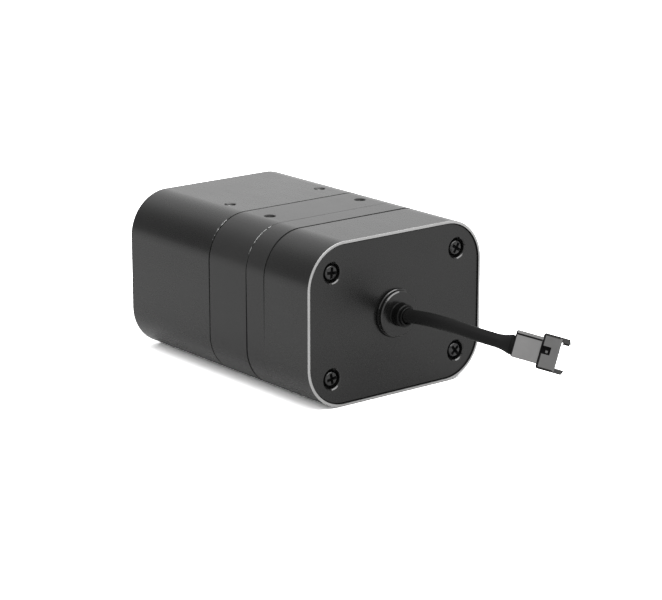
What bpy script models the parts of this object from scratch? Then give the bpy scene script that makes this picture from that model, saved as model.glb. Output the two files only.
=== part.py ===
"""Lidar scanner module: a stacked housing round a turning polygon mirror, its optics, boards and cable.

Metres, +Z up. The origin is in the middle of the base, the scanner looks along +Y through its front
window, and the rear plate with the cable faces -Y. The housing is four sections that plug into each
other. Four long screws through the rear plate clamp the stack to posts in the front section.
"""

import math

import bmesh
import bpy
from mathutils import Matrix, Vector

# Fits between pieces
FIT = 0.0003
SEAM_GAP = 0.0003
AIR_GAP = 0.0006

# Housing sections, lengths along Y
BODY_WIDTH = 0.0600
BODY_HEIGHT = 0.0450
CORNER_RADIUS = 0.0122
REAR_LENGTH = 0.01865
RING_LENGTH = 0.0075
MIDDLE_LENGTH = 0.0163
FRONT_LENGTH = 0.0376
WALL = 0.0028
LIP_WALL = 0.0012
SPIGOT_LENGTH = 0.0027
SEAL_THICKNESS = 0.0008
RIM_WALL = 0.00115
RIM_CHAMFER = 0.00042
FRONT_CHAMFER = 0.0005

# Facets on round shapes
CORNER_SEGMENTS = 8
PAN_SEGMENTS = 12
SHAFT_TURNS = 20
ROUND_STEPS = 24
DOME_STEPS = 4
SHARP_ANGLE = math.radians(30)

# Front window
WINDOW_MARGIN = 0.0050
WINDOW_LEDGE = 0.0025
WINDOW_THICKNESS = 0.0020
WINDOW_RECESS = 0.0003
WINDOW_GASKET = 0.0006
LEDGE_THICKNESS = 0.0010

# Tapped mounting holes in the top face, two on each side of the front seam
MOUNT_SPACING = 0.0315
FRONT_HOLE_OFFSET = 0.0092
MIDDLE_HOLE_OFFSET = 0.0085
MOUNT_HOLE_RADIUS = 0.0014
MOUNT_HOLE_DEPTH = 0.0048
MOUNT_PAD_RADIUS = 0.0030
MOUNT_PAD_HEIGHT = 0.0035

# Rear plate and the screws that clamp the stack
PLATE_THICKNESS = 0.0025
PLATE_RECESS = 0.0004
PLATE_GAP = 0.00025
SCREW_INSET_X = 0.0084
SCREW_INSET_Z = 0.0081
SCREW_RADIUS = 0.00125
SCREW_HEAD_RADIUS = 0.00235
SCREW_HEAD_HEIGHT = 0.0015
SCREW_HEAD_FLAT = 0.0017
SCREW_CROWN = 0.0005
SCREW_DEPTH = 0.0002
SCREW_SEAT_CLEARANCE = 0.0004
SCREW_SEAT_CHAMFER = 0.00025
CROSS_LENGTH = 0.0031
CROSS_WIDTH = 0.0008
CROSS_DEPTH = 0.0009
CROSS_TURNS = (8.0, 34.0, -20.0, 28.0)
POST_REACH = 0.0040
POST_LENGTH = 0.0050
POST_SETBACK = 0.0009

# Cable gland, cable and connector
FLANGE_RADIUS = 0.00635
FLANGE_THICKNESS = 0.0015
FLANGE_CHAMFER = 0.0004
BOSS_RADIUS = 0.0032
BOSS_LENGTH = 0.0028
BOSS_CHAMFER = 0.0004
STEM_RADIUS = 0.0030
GLAND_BORE = 0.0024
NUT_RADIUS = 0.0052
NUT_THICKNESS = 0.0028
CABLE_RADIUS = 0.00185
CABLE_STEP = 0.0030
# The cable's way from inside the gland towards its connector, from the middle of the back face
CABLE_ROUTE = (
    (0.0000, -0.0010, 0.0000),
    (0.0000, -0.0042, 0.0002),
    (0.0000, -0.0087, 0.0007),
    (0.0003, -0.0131, 0.0010),
    (0.0012, -0.0175, 0.0008),
    (0.0028, -0.0216, 0.0002),
    (0.0051, -0.0255, -0.0009),
)
CABLE_TAIL = 0.0025
CONNECTOR_PLACE = (0.01164, -0.03325, -0.00284)
CONNECTOR_YAW = 42.1
CONNECTOR_PITCH = -13.8
CONNECTOR_ROLL = 16.9
COLLAR_LENGTH = 0.0022
COLLAR_RADIUS = 0.0026
# The cable enters the connector a little to one side of its middle
COLLAR_X = -0.00055
PLUG_WIDTH = 0.0072
PLUG_THICKNESS = 0.0052
PLUG_LENGTH = 0.0070
RAIL_WIDTH = 0.00115
RAIL_HEIGHT = 0.0003
RAIL_GROOVE = 0.0003
RAIL_GROOVE_DEPTH = 0.0005
HEAD_WIDTH = 0.0095
HEAD_THICKNESS = 0.0062
HEAD_LENGTH = 0.0050
HEAD_WALL = 0.0013
HEAD_FLOOR = 0.0020
PRONG_LENGTH = 0.0024
PRONG_WIDTH = 0.0034
PRONG_SLANT = 0.0005
LATCH_X = 0.0004
LATCH_WIDTH = 0.0021
LATCH_LENGTH = 0.0028
LATCH_DEPTH = 0.0008
CONTACT_PITCH = 0.0025
CONTACT_SIZE = 0.0009
CONTACT_EDGE = 0.0002
CONTACT_LENGTH = 0.0052
CONTACT_SET_IN = 0.0030

# Optics frame: a bulkhead clamped at the front seam, with a shelf
BULKHEAD_THICKNESS = 0.0020
SHELF_HEIGHT = 0.0022
SHELF_THICKNESS = 0.0025
SHELF_CLEARANCE = 0.0010
GUSSET_THICKNESS = 0.0016
GUSSET_LENGTH = 0.0050
GUSSET_HEIGHT = 0.0120
PASS_SLOT_WIDTH = 0.0140
PASS_SLOT_HEIGHT = 0.0040
PASS_SLOT_RADIUS = 0.0018

# Scan motor and polygon mirror
SHAFT_RADIUS = 0.0010
BEARING_WIDTH = 0.0023
BEARING_RACE = 0.0004
SHIELD_WIDTH = 0.0004
SHIELD_DEPTH = 0.0002
MOTOR_FLANGE = 0.0015
BEARING_TUBE_WALL = 0.0005
STATOR_HEIGHT = 0.0035
STATOR_TEETH = 9
STATOR_YOKE = 0.0004
TOOTH_WIDTH = 0.0010
TOOTH_LENGTH = 0.0006
TOOTH_SHOE = 0.0005
SHOE_WIDTH = 0.0025
MAGNET_THICKNESS = 0.0006
CUP_WALL = 0.0007
CUP_TOP = 0.0011
HUB_RADIUS = 0.0026
HUB_HEIGHT = 0.0026
ENCODER_RIM = 0.0017
ENCODER_THICKNESS = 0.0005
ENCODER_SLOTS = 16
ENCODER_SLOT_DEPTH = 0.0012
POLYGON_RADIUS = 0.0070
POLYGON_FACETS = 4
POLYGON_EDGE = 0.0005
MIRROR_HEADROOM = 0.0022
CLAMP_RADIUS = 0.0035
CLAMP_THICKNESS = 0.0012
CLAMP_PLUG = 0.0020
SENSOR_WIDTH = 0.0040
SENSOR_BACK = 0.0012
SENSOR_CLEARANCE = 0.0006
SENSOR_JAW = 0.0018

# Optics block beside the mirror
OPTICS_LENGTH = 0.0100
OPTICS_WALL = 0.0014
OPTICS_EDGE = 0.0007
EMITTER_RADIUS = 0.0025
EMITTER_MARGIN = 0.0006
LENS_EDGE = 0.0012
EMITTER_BULGE = 0.0008
RECEIVER_BULGE = 0.0015
LENS_SEAT = 0.0034
DIODE_CAN_RADIUS = 0.0017
DETECTOR_FLANGE_RADIUS = 0.0041
DETECTOR_CAN_RADIUS = 0.0031
CAN_FLANGE = 0.0012
CAN_LENGTH = 0.0026
CAN_SET_IN = 0.0003
BOARD_THICKNESS = 0.0016

# Boards behind the bulkhead
STANDOFF_LENGTH = 0.0057
STANDOFF_RADIUS = 0.0026
STANDOFF_BORE = 0.0011
STUD_RADIUS = 0.0010
STUD_LENGTH = 0.0018
STANDOFF_INSET = 0.0030
BOARD_SCREW_RADIUS = 0.0008
BOARD_SCREW_LENGTH = 0.0045
BOARD_SCREW_HEAD = 0.0019
BOARD_SCREW_HEAD_HEIGHT = 0.0012
BOARD_SCREW_FLAT = 0.0013
BOARD_SCREW_CROWN = 0.0006
BOARD_CLEARANCE = 0.0008
BOARD_CORNER = 0.0015
PROCESSOR_SIZE = 0.0130
PROCESSOR_THICKNESS = 0.0014
POWER_BOARD_Z = 0.0145
POWER_BOARD_LENGTH = 0.0100
RIB_DEPTH = 0.0020
RIB_THICKNESS = 0.0012
HEADER_WIDTH = 0.0080
HEADER_LENGTH = 0.0050
HEADER_HEIGHT = 0.0036
LEAD_RADIUS = 0.0012
CAPACITOR_RADIUS = 0.0032
CAPACITOR_HEIGHT = 0.0090
CAPACITOR_EDGE = 0.0004
INDUCTOR_SIZE = 0.0072
INDUCTOR_HEIGHT = 0.0042
INDUCTOR_EDGE = 0.0008
COMPONENT_SPREAD = 0.0130

# Places worked out from the sizes
MID_Z = BODY_HEIGHT / 2
BODY_LENGTH = REAR_LENGTH + RING_LENGTH + MIDDLE_LENGTH + FRONT_LENGTH + 3 * SEAM_GAP
BACK_Y = -BODY_LENGTH / 2
REAR_FRONT_Y = BACK_Y + REAR_LENGTH
RING_BACK_Y = REAR_FRONT_Y + SEAM_GAP
RING_FRONT_Y = RING_BACK_Y + RING_LENGTH
MIDDLE_BACK_Y = RING_FRONT_Y + SEAM_GAP
MIDDLE_FRONT_Y = MIDDLE_BACK_Y + MIDDLE_LENGTH
FRONT_BACK_Y = MIDDLE_FRONT_Y + SEAM_GAP
FRONT_Y = FRONT_BACK_Y + FRONT_LENGTH
SPIGOT_INSET = LIP_WALL + FIT
SOCKET_DEPTH = SPIGOT_LENGTH - SEAM_GAP + SEAL_THICKNESS + 2 * FIT
FRONT_SOCKET_DEPTH = SOCKET_DEPTH + BULKHEAD_THICKNESS + FIT
BULKHEAD_BACK_Y = MIDDLE_FRONT_Y + SPIGOT_LENGTH + FIT
BULKHEAD_FRONT_Y = BULKHEAD_BACK_Y + BULKHEAD_THICKNESS
SCREW_SEAT_RADIUS = SCREW_HEAD_RADIUS + SCREW_SEAT_CLEARANCE
SCREW_X = BODY_WIDTH / 2 - SCREW_INSET_X
SCREW_Z = BODY_HEIGHT / 2 - SCREW_INSET_Z
PLATE_BACK_Y = BACK_Y + PLATE_RECESS
PLATE_FRONT_Y = PLATE_BACK_Y + PLATE_THICKNESS
LEDGE_Y = PLATE_FRONT_Y + SEAL_THICKNESS + 2 * FIT
FRONT_POST_Y = FRONT_BACK_Y + FRONT_SOCKET_DEPTH + POST_SETBACK
REBATE_Y = FRONT_Y - WINDOW_RECESS - WINDOW_THICKNESS - WINDOW_GASKET - 2 * FIT
FRONT_WALL_Y = REBATE_Y - LEDGE_THICKNESS
PAD_Z = BODY_HEIGHT - WALL - MOUNT_PAD_HEIGHT
SHELF_TOP_Z = WALL + SHELF_HEIGHT + SHELF_THICKNESS
SHELF_HALF = SCREW_X - POST_REACH - SHELF_CLEARANCE

# Heights of the scan motor's pieces above the shelf, and the mirror's ends
FLANGE_TOP = FIT + MOTOR_FLANGE
STATOR_BOTTOM = FLANGE_TOP + FIT
TUBE_TOP = STATOR_BOTTOM + STATOR_HEIGHT + FIT
CUP_UNDERSIDE = TUBE_TOP + FIT
CUP_TOP_FACE = CUP_UNDERSIDE + CUP_TOP
ENCODER_BOTTOM = CUP_TOP_FACE + FIT
POLYGON_BOTTOM = ENCODER_BOTTOM + ENCODER_THICKNESS + FIT
POLYGON_TOP = PAD_Z - MIRROR_HEADROOM - SHELF_TOP_Z
BEARING_BORE = SHAFT_RADIUS + FIT
BEARING_RADIUS = BEARING_BORE + 2 * BEARING_RACE + SHIELD_WIDTH
TUBE_BORE = BEARING_RADIUS + FIT
TUBE_OUTSIDE = TUBE_BORE + BEARING_TUBE_WALL
YOKE_RADIUS = TUBE_OUTSIDE + FIT + STATOR_YOKE
STATOR_RADIUS = YOKE_RADIUS + TOOTH_LENGTH + TOOTH_SHOE
MAGNET_INSIDE = STATOR_RADIUS + FIT
MAGNET_OUTSIDE = MAGNET_INSIDE + MAGNET_THICKNESS
CUP_INSIDE = MAGNET_OUTSIDE + FIT
CUP_RADIUS = CUP_INSIDE + CUP_WALL
ROTOR_RADIUS = max(CUP_RADIUS, POLYGON_RADIUS)
ENCODER_RADIUS = ROTOR_RADIUS + ENCODER_RIM
MIRROR_X = SHELF_HALF - ROTOR_RADIUS
MIRROR_Y = BULKHEAD_FRONT_Y + SENSOR_CLEARANCE + SENSOR_BACK + AIR_GAP + ENCODER_RADIUS
BEAM_Y = MIRROR_Y + POLYGON_RADIUS / 2
EMITTER_Z = SHELF_TOP_Z + POLYGON_BOTTOM + EMITTER_MARGIN + EMITTER_RADIUS
RECEIVER_BOTTOM_Z = EMITTER_Z + EMITTER_RADIUS + 2 * FIT + OPTICS_WALL
RECEIVER_RADIUS = (SHELF_TOP_Z + POLYGON_TOP - RECEIVER_BOTTOM_Z) / 2
RECEIVER_Z = RECEIVER_BOTTOM_Z + RECEIVER_RADIUS
OPTICS_RIGHT_X = MIRROR_X - ENCODER_RADIUS - AIR_GAP
OPTICS_LEFT_X = OPTICS_RIGHT_X - OPTICS_LENGTH

PARTS = None
CUTTERS = None
TURN_TO_AXIS = {
    "X": (math.radians(90), 0.0, math.radians(90)),
    "Y": (math.radians(90), 0.0, 0.0),
    "Z": (0.0, 0.0, 0.0),
}


def start_scene():
    """Empties the scene and makes the two collections."""
    global PARTS, CUTTERS
    for old in list(bpy.data.objects):
        bpy.data.objects.remove(old, do_unlink=True)
    PARTS = bpy.data.collections.new("lidar_scanner_module")
    CUTTERS = bpy.data.collections.new("cutters")
    bpy.context.scene.collection.children.link(PARTS)
    bpy.context.scene.collection.children.link(CUTTERS)


def finish(name, color, roughness, metallic):
    """A Principled finish."""
    material = bpy.data.materials.new(name)
    material.use_nodes = True
    shader = material.node_tree.nodes["Principled BSDF"]
    shader.inputs["Base Color"].default_value = (*color, 1.0)
    shader.inputs["Roughness"].default_value = roughness
    shader.inputs["Metallic"].default_value = metallic
    material.diffuse_color = (*color, 1.0)
    return material


def smooth_by_angle():
    """A node group that shades a finished shape smooth, except across its sharp edges."""
    group = bpy.data.node_groups.new("smooth_by_angle", "GeometryNodeTree")
    group.interface.new_socket("Geometry", in_out="INPUT", socket_type="NodeSocketGeometry")
    group.interface.new_socket("Geometry", in_out="OUTPUT", socket_type="NodeSocketGeometry")
    start = group.nodes.new("NodeGroupInput")
    stop = group.nodes.new("NodeGroupOutput")
    faces = group.nodes.new("GeometryNodeSetShadeSmooth")
    edges = group.nodes.new("GeometryNodeSetShadeSmooth")
    edges.domain = "EDGE"
    edges.inputs["Shade Smooth"].default_value = False
    angle = group.nodes.new("GeometryNodeInputMeshEdgeAngle")
    sharp = group.nodes.new("FunctionNodeCompare")
    sharp.operation = "GREATER_THAN"
    sharp.inputs["B"].default_value = SHARP_ANGLE
    group.links.new(angle.outputs["Unsigned Angle"], sharp.inputs["A"])
    group.links.new(sharp.outputs["Result"], edges.inputs["Selection"])
    group.links.new(start.outputs["Geometry"], faces.inputs["Geometry"])
    group.links.new(faces.outputs["Geometry"], edges.inputs["Geometry"])
    group.links.new(edges.outputs["Geometry"], stop.inputs["Geometry"])
    return group


def shade_parts():
    group = smooth_by_angle()
    for made in PARTS.objects:
        if made.type == "MESH":
            made.modifiers.new("shading", "NODES").node_group = group


def add_object(name, data, place=(0, 0, 0), axis="Z"):
    """Links new data as an object of the part, turned so that its own Z lies along the axis."""
    made = bpy.data.objects.new(name, data)
    made.location = place
    made.rotation_euler = TURN_TO_AXIS[axis]
    PARTS.objects.link(made)
    return made


def mesh_object(name, builder, place=(0, 0, 0), axis="Z"):
    """An object from a bmesh."""
    data = bpy.data.meshes.new(name)
    builder.to_mesh(data)
    builder.free()
    return add_object(name, data, place, axis)


def rounded_outline(width, height, radius):
    """A rectangle with round corners, counter-clockwise round the origin."""
    points = []
    for quarter in range(4):
        side = 1 if quarter in (0, 3) else -1
        level = 1 if quarter in (0, 1) else -1
        centre = (side * (width / 2 - radius), level * (height / 2 - radius))
        for step in range(CORNER_SEGMENTS + 1):
            angle = math.radians(90) * (quarter + step / CORNER_SEGMENTS)
            points.append((centre[0] + radius * math.cos(angle), centre[1] + radius * math.sin(angle)))
    return points


def body_outline(inset):
    """The housing's outline, moved inwards."""
    return rounded_outline(BODY_WIDTH - 2 * inset, BODY_HEIGHT - 2 * inset, CORNER_RADIUS - inset)


def ring_outline(radius, count, centre=(0.0, 0.0), turn=0.0):
    """A regular polygon or circle."""
    points = []
    for index in range(count):
        angle = math.radians(360) * index / count + turn
        points.append((centre[0] + radius * math.cos(angle), centre[1] + radius * math.sin(angle)))
    return points


def slab(name, loops, thickness, place=(0, 0, 0), axis="Y", chamfer=0.0):
    """A flat outline, with holes where more loops are given, as thick as said along the axis.

    A chamfer is cut round the outer edge of the face on the outline's own positive side.
    """
    curve = bpy.data.curves.new(name, "CURVE")
    curve.dimensions = "2D"
    curve.fill_mode = "BOTH"
    curve.extrude = thickness / 2
    for loop in loops:
        spline = curve.splines.new("POLY")
        spline.points.add(len(loop) - 1)
        spline.use_cyclic_u = True
        for point, (across, along) in zip(spline.points, loop):
            point.co = (across, along, 0.0, 1.0)
    drawn = bpy.data.objects.new(name + "_outline", curve)
    bpy.context.scene.collection.objects.link(drawn)
    evaluated = drawn.evaluated_get(bpy.context.evaluated_depsgraph_get())
    data = bpy.data.meshes.new_from_object(evaluated)
    bpy.data.objects.remove(drawn, do_unlink=True)
    bpy.data.curves.remove(curve)
    builder = bmesh.new()
    builder.from_mesh(data)
    bpy.data.meshes.remove(data)
    bmesh.ops.remove_doubles(builder, verts=builder.verts, dist=1e-6)
    bmesh.ops.dissolve_limit(
        builder, angle_limit=math.radians(0.2), verts=builder.verts, edges=builder.edges
    )
    bmesh.ops.recalc_face_normals(builder, faces=builder.faces)
    if chamfer > 0:
        rim = [edge for edge in builder.edges if min(vert.co.z for vert in edge.verts) > 0]
        bmesh.ops.bevel(builder, geom=rim, offset=chamfer, segments=1, profile=0.5, affect="EDGES")
    return mesh_object(name, builder, place, axis)


def block(name, low, high):
    """A box between two corners."""
    builder = bmesh.new()
    bmesh.ops.create_cube(builder, size=1.0)
    size = [top - bottom for bottom, top in zip(low, high)]
    bmesh.ops.scale(builder, vec=size, verts=builder.verts)
    middle = [(bottom + top) / 2 for bottom, top in zip(low, high)]
    return mesh_object(name, builder, middle)


def turned(name, profile, place=(0, 0, 0), axis="Z", steps=ROUND_STEPS, closed=True):
    """A profile of (radius, height) points, given down its outer side, turned about the axis."""
    builder = bmesh.new()
    verts = [builder.verts.new((radius, 0.0, height)) for radius, height in profile]
    for first, second in zip(verts, verts[1:]):
        builder.edges.new((first, second))
    if closed:
        builder.edges.new((verts[-1], verts[0]))
    made = mesh_object(name, builder, place, axis)
    screw = made.modifiers.new("turn", "SCREW")
    screw.steps = steps
    screw.render_steps = steps
    screw.use_merge_vertices = True
    screw.merge_threshold = 1e-6
    screw.use_smooth_shade = False
    return made


def tube(name, points, radius):
    """A round cord along points."""
    curve = bpy.data.curves.new(name, "CURVE")
    curve.dimensions = "3D"
    curve.bevel_depth = radius
    curve.bevel_resolution = 2
    curve.use_fill_caps = True
    spline = curve.splines.new("POLY")
    spline.points.add(len(points) - 1)
    for point, place in zip(spline.points, points):
        point.co = (*place, 1.0)
    return add_object(name, curve)


def smooth_route(points, step):
    """Points about a step apart on a smooth curve through the given ones."""
    ends = [2 * points[0] - points[1], *points, 2 * points[-1] - points[-2]]
    route = []
    for before, start, stop, after in zip(ends, ends[1:], ends[2:], ends[3:]):
        count = max(1, round((stop - start).length / step))
        for index in range(count):
            part = index / count
            route.append(
                0.5
                * (
                    2 * start
                    + (stop - before) * part
                    + (2 * before - 5 * start + 4 * stop - after) * part**2
                    + (3 * start - before - 3 * stop + after) * part**3
                )
            )
    route.append(points[-1])
    return route


def put_away(tool):
    """Makes an object a construction helper."""
    tool.hide_render = True
    tool.display_type = "WIRE"
    PARTS.objects.unlink(tool)
    CUTTERS.objects.link(tool)


def combine(target, tool, operation):
    boolean = target.modifiers.new(tool.name, "BOOLEAN")
    boolean.operation = operation
    boolean.solver = "EXACT"
    boolean.object = tool
    if tool.name not in CUTTERS.objects:
        put_away(tool)


def cut(target, tool):
    combine(target, tool, "DIFFERENCE")


def join(target, tool):
    combine(target, tool, "UNION")


def dress(objects, material):
    for made in objects:
        made.data.materials.append(material)


def corner_signs():
    """The four corners of the plate, clockwise from the upper left as seen from behind."""
    return ((-1, 1), (1, 1), (1, -1), (-1, -1))


def section(name, inset, start, stop, chamfer=0.0, turn_round=False):
    """A solid length of the housing's outline. The chamfer is on its rear end, or the front one."""
    made = slab(
        name, [body_outline(inset)], stop - start, (0, (start + stop) / 2, MID_Z), "Y", chamfer
    )
    if turn_round:
        made.rotation_euler = (math.radians(90), 0.0, math.radians(180))
    return made


def bore_with_posts(name, start, stop, post_start):
    """The inside of a section, less the four corner posts that guide or hold the stack screws."""
    bore = section(name, WALL, start, stop)
    for number, (side, level) in enumerate(corner_signs(), 1):
        inner = (side * (SCREW_X - POST_REACH), MID_Z + level * (SCREW_Z - POST_REACH))
        outer = (side * BODY_WIDTH / 2, MID_Z + level * BODY_HEIGHT / 2)
        low = (min(inner[0], outer[0]), post_start, min(inner[1], outer[1]))
        high = (max(inner[0], outer[0]), post_start + POST_LENGTH, max(inner[1], outer[1]))
        cut(bore, block(f"{name}_post_{number}", low, high))
    return bore


def drill_posts(target, name, start, stop):
    for number, (side, level) in enumerate(corner_signs(), 1):
        place = (side * SCREW_X, (start + stop) / 2, MID_Z + level * SCREW_Z)
        loop = ring_outline(SCREW_RADIUS + FIT, PAN_SEGMENTS)
        cut(target, slab(f"{name}_{number}", [loop], stop - start, place))


def add_mount_pads(target, name, hole_y):
    """Round pads that hang from the inside of the top wall, for the threads."""
    height = MOUNT_PAD_HEIGHT + WALL / 2
    for side in (-1, 1):
        place = (side * MOUNT_SPACING / 2, hole_y, PAD_Z + height / 2)
        loop = ring_outline(MOUNT_PAD_RADIUS, PAN_SEGMENTS)
        join(target, slab(f"{name}_pad_{side + 2}", [loop], height, place, "Z"))


def drill_mount_holes(target, name, hole_y):
    for side in (-1, 1):
        loop = ring_outline(MOUNT_HOLE_RADIUS, PAN_SEGMENTS)
        depth = 2 * MOUNT_HOLE_DEPTH
        place = (side * MOUNT_SPACING / 2, hole_y, BODY_HEIGHT)
        cut(target, slab(f"{name}_hole_{side + 2}", [loop], depth, place, "Z"))


def make_housing():
    front = section("front_shell", 0.0, FRONT_BACK_Y, FRONT_Y, FRONT_CHAMFER, turn_round=True)
    cut(front, bore_with_posts("front_bore", FRONT_BACK_Y - WALL, FRONT_WALL_Y, FRONT_POST_Y))
    front_hole_y = FRONT_BACK_Y + FRONT_HOLE_OFFSET
    add_mount_pads(front, "front", front_hole_y)
    cut(front, section("front_socket", LIP_WALL, FRONT_BACK_Y - WALL, FRONT_BACK_Y + FRONT_SOCKET_DEPTH))
    drill_mount_holes(front, "front", front_hole_y)
    drill_posts(front, "front_thread", FRONT_POST_Y - WALL, FRONT_POST_Y + POST_LENGTH + WALL)
    cut(front, section("window_rebate", WINDOW_MARGIN, REBATE_Y, FRONT_Y + WALL))
    cut(front, section("window_opening", WINDOW_MARGIN + WINDOW_LEDGE, FRONT_WALL_Y - WALL, REBATE_Y + WALL))

    middle = section("middle_shell", 0.0, MIDDLE_BACK_Y, MIDDLE_FRONT_Y)
    add_spigot(middle, "middle_spigot", MIDDLE_BACK_Y, MIDDLE_FRONT_Y)
    middle_hole_y = MIDDLE_FRONT_Y - MIDDLE_HOLE_OFFSET
    add_mount_pads(middle, "middle", middle_hole_y)
    cut_socket(middle, "middle_socket", MIDDLE_BACK_Y)
    drill_mount_holes(middle, "middle", middle_hole_y)

    ring = section("spacer_ring", 0.0, RING_BACK_Y, RING_FRONT_Y)
    add_spigot(ring, "ring_spigot", RING_BACK_Y, RING_FRONT_Y)
    cut_socket(ring, "ring_socket", RING_BACK_Y)

    rear = section("rear_shell", 0.0, BACK_Y, REAR_FRONT_Y, RIM_CHAMFER)
    spigot = section("rear_spigot", SPIGOT_INSET, (BACK_Y + REAR_FRONT_Y) / 2, REAR_FRONT_Y + SPIGOT_LENGTH)
    join(rear, spigot)
    post_y = LEDGE_Y + POST_SETBACK
    cut(rear, bore_with_posts("rear_bore", BACK_Y - WALL, REAR_FRONT_Y + SPIGOT_LENGTH + WALL, post_y))
    cut(rear, section("plate_recess", RIM_WALL, BACK_Y - WALL, LEDGE_Y))
    drill_posts(rear, "rear_guide", post_y - WALL, post_y + POST_LENGTH + WALL)
    add_board_ribs(rear)
    return [front, middle, ring, rear]


def add_spigot(target, name, start, stop):
    """The thinner wall that plugs into the section ahead, and the bore through both."""
    join(target, section(name, SPIGOT_INSET, (start + stop) / 2, stop + SPIGOT_LENGTH))
    cut(target, section(name + "_bore", WALL, start - WALL, stop + SPIGOT_LENGTH + WALL))


def cut_socket(target, name, start):
    cut(target, section(name, LIP_WALL, start - WALL, start + SOCKET_DEPTH))


def add_board_ribs(rear):
    """Two ribs on each side wall, which hold the power board between them."""
    start = REAR_FRONT_Y - POWER_BOARD_LENGTH
    for side in (-1, 1):
        wall_x = side * (BODY_WIDTH / 2 - WALL / 2)
        edge_x = side * (BODY_WIDTH / 2 - WALL - RIB_DEPTH)
        bottoms = (
            POWER_BOARD_Z - FIT - RIB_THICKNESS,
            POWER_BOARD_Z + BOARD_THICKNESS + FIT,
        )
        for number, bottom in enumerate(bottoms, 1):
            low = (min(wall_x, edge_x), start, bottom)
            high = (max(wall_x, edge_x), REAR_FRONT_Y - FIT, bottom + RIB_THICKNESS)
            join(rear, block(f"board_rib_{side + 2}_{number}", low, high))


def seal(name, outer_inset, inner_inset, start, thickness):
    """A flat gasket that follows the housing's outline."""
    loops = [body_outline(outer_inset), body_outline(inner_inset)]
    return slab(name, loops, thickness, (0, start + thickness / 2, MID_Z))


def make_seals():
    front_start = BULKHEAD_FRONT_Y + FIT
    middle_start = RING_FRONT_Y + SPIGOT_LENGTH + FIT
    rear_start = REAR_FRONT_Y + SPIGOT_LENGTH + FIT
    plate_start = PLATE_FRONT_Y + FIT
    return [
        seal("front_seal", SPIGOT_INSET, WALL, front_start, SEAL_THICKNESS),
        seal("middle_seal", SPIGOT_INSET, WALL, middle_start, SEAL_THICKNESS),
        seal("rear_seal", SPIGOT_INSET, WALL, rear_start, SEAL_THICKNESS),
        seal("plate_seal", RIM_WALL + PLATE_GAP, WALL, plate_start, SEAL_THICKNESS),
    ]


def make_window():
    window_y = FRONT_Y - WINDOW_RECESS - WINDOW_THICKNESS / 2
    outline = body_outline(WINDOW_MARGIN + FIT)
    window = slab("front_window", [outline], WINDOW_THICKNESS, (0, window_y, MID_Z))
    gasket = seal(
        "window_gasket", WINDOW_MARGIN + FIT, WINDOW_MARGIN + WINDOW_LEDGE, REBATE_Y + FIT, WINDOW_GASKET
    )
    return window, gasket


def make_rear_plate():
    outline = body_outline(RIM_WALL + PLATE_GAP)
    plate = slab(
        "rear_plate", [outline], PLATE_THICKNESS, (0, (PLATE_BACK_Y + PLATE_FRONT_Y) / 2, MID_Z)
    )
    lip = SCREW_SEAT_RADIUS + SCREW_SEAT_CHAMFER
    seat_depth = SCREW_DEPTH + SCREW_HEAD_HEIGHT + FIT
    seat = (
        (0.0, WALL),
        (lip + WALL, WALL),
        (lip, 0.0),
        (SCREW_SEAT_RADIUS, -SCREW_SEAT_CHAMFER),
        (SCREW_SEAT_RADIUS, -seat_depth),
        (SCREW_RADIUS + FIT, -seat_depth),
        (SCREW_RADIUS + FIT, -PLATE_THICKNESS - WALL),
        (0.0, -PLATE_THICKNESS - WALL),
    )
    for number, (side, level) in enumerate(corner_signs(), 1):
        place = (side * SCREW_X, PLATE_BACK_Y, MID_Z + level * SCREW_Z)
        cut(plate, turned(f"screw_seat_{number}", seat, place, "Y", SHAFT_TURNS, closed=False))
    loop = ring_outline(STEM_RADIUS + FIT, SHAFT_TURNS)
    middle_y = (PLATE_BACK_Y + PLATE_FRONT_Y) / 2
    cut(plate, slab("gland_hole", [loop], 2 * PLATE_THICKNESS, (0, middle_y, MID_Z)))
    return plate


def make_stack_screws():
    """Long pan-head screws with a cross recess."""
    screws = []
    seat_y = PLATE_BACK_Y + SCREW_DEPTH + SCREW_HEAD_HEIGHT
    length = FRONT_POST_Y + POST_LENGTH - POST_SETBACK - seat_y
    profile = pan_profile(
        SCREW_HEAD_RADIUS, SCREW_HEAD_FLAT, SCREW_HEAD_HEIGHT, SCREW_CROWN, SCREW_RADIUS, length
    )
    for number, ((side, level), angle) in enumerate(zip(corner_signs(), CROSS_TURNS), 1):
        place = (side * SCREW_X, seat_y, MID_Z + level * SCREW_Z)
        screw = turned(f"stack_screw_{number}", profile, place, "Y", SHAFT_TURNS, closed=False)
        top = (place[0], seat_y - SCREW_HEAD_HEIGHT, place[2])
        cut(screw, slab(f"cross_{number}", [cross_outline(angle)], 2 * CROSS_DEPTH, top))
        screws.append(screw)
    return screws


def pan_profile(head_radius, flat_radius, head_height, crown, radius, length):
    """Half of a pan-head screw, with its seat at zero and its shank downwards."""
    return (
        (0.0, head_height),
        (flat_radius, head_height),
        (head_radius, head_height - crown),
        (head_radius, 0.0),
        (radius, 0.0),
        (radius, -length),
        (0.0, -length),
    )


def cross_outline(angle):
    """A plus sign, turned by an angle in degrees."""
    long_half, short_half = CROSS_LENGTH / 2, CROSS_WIDTH / 2
    points = []
    for quarter in range(4):
        turn = math.radians(90 * quarter + angle)
        for across, along in ((long_half, -short_half), (long_half, short_half), (short_half, short_half)):
            points.append(
                (
                    across * math.cos(turn) - along * math.sin(turn),
                    across * math.sin(turn) + along * math.cos(turn),
                )
            )
    return points


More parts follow.
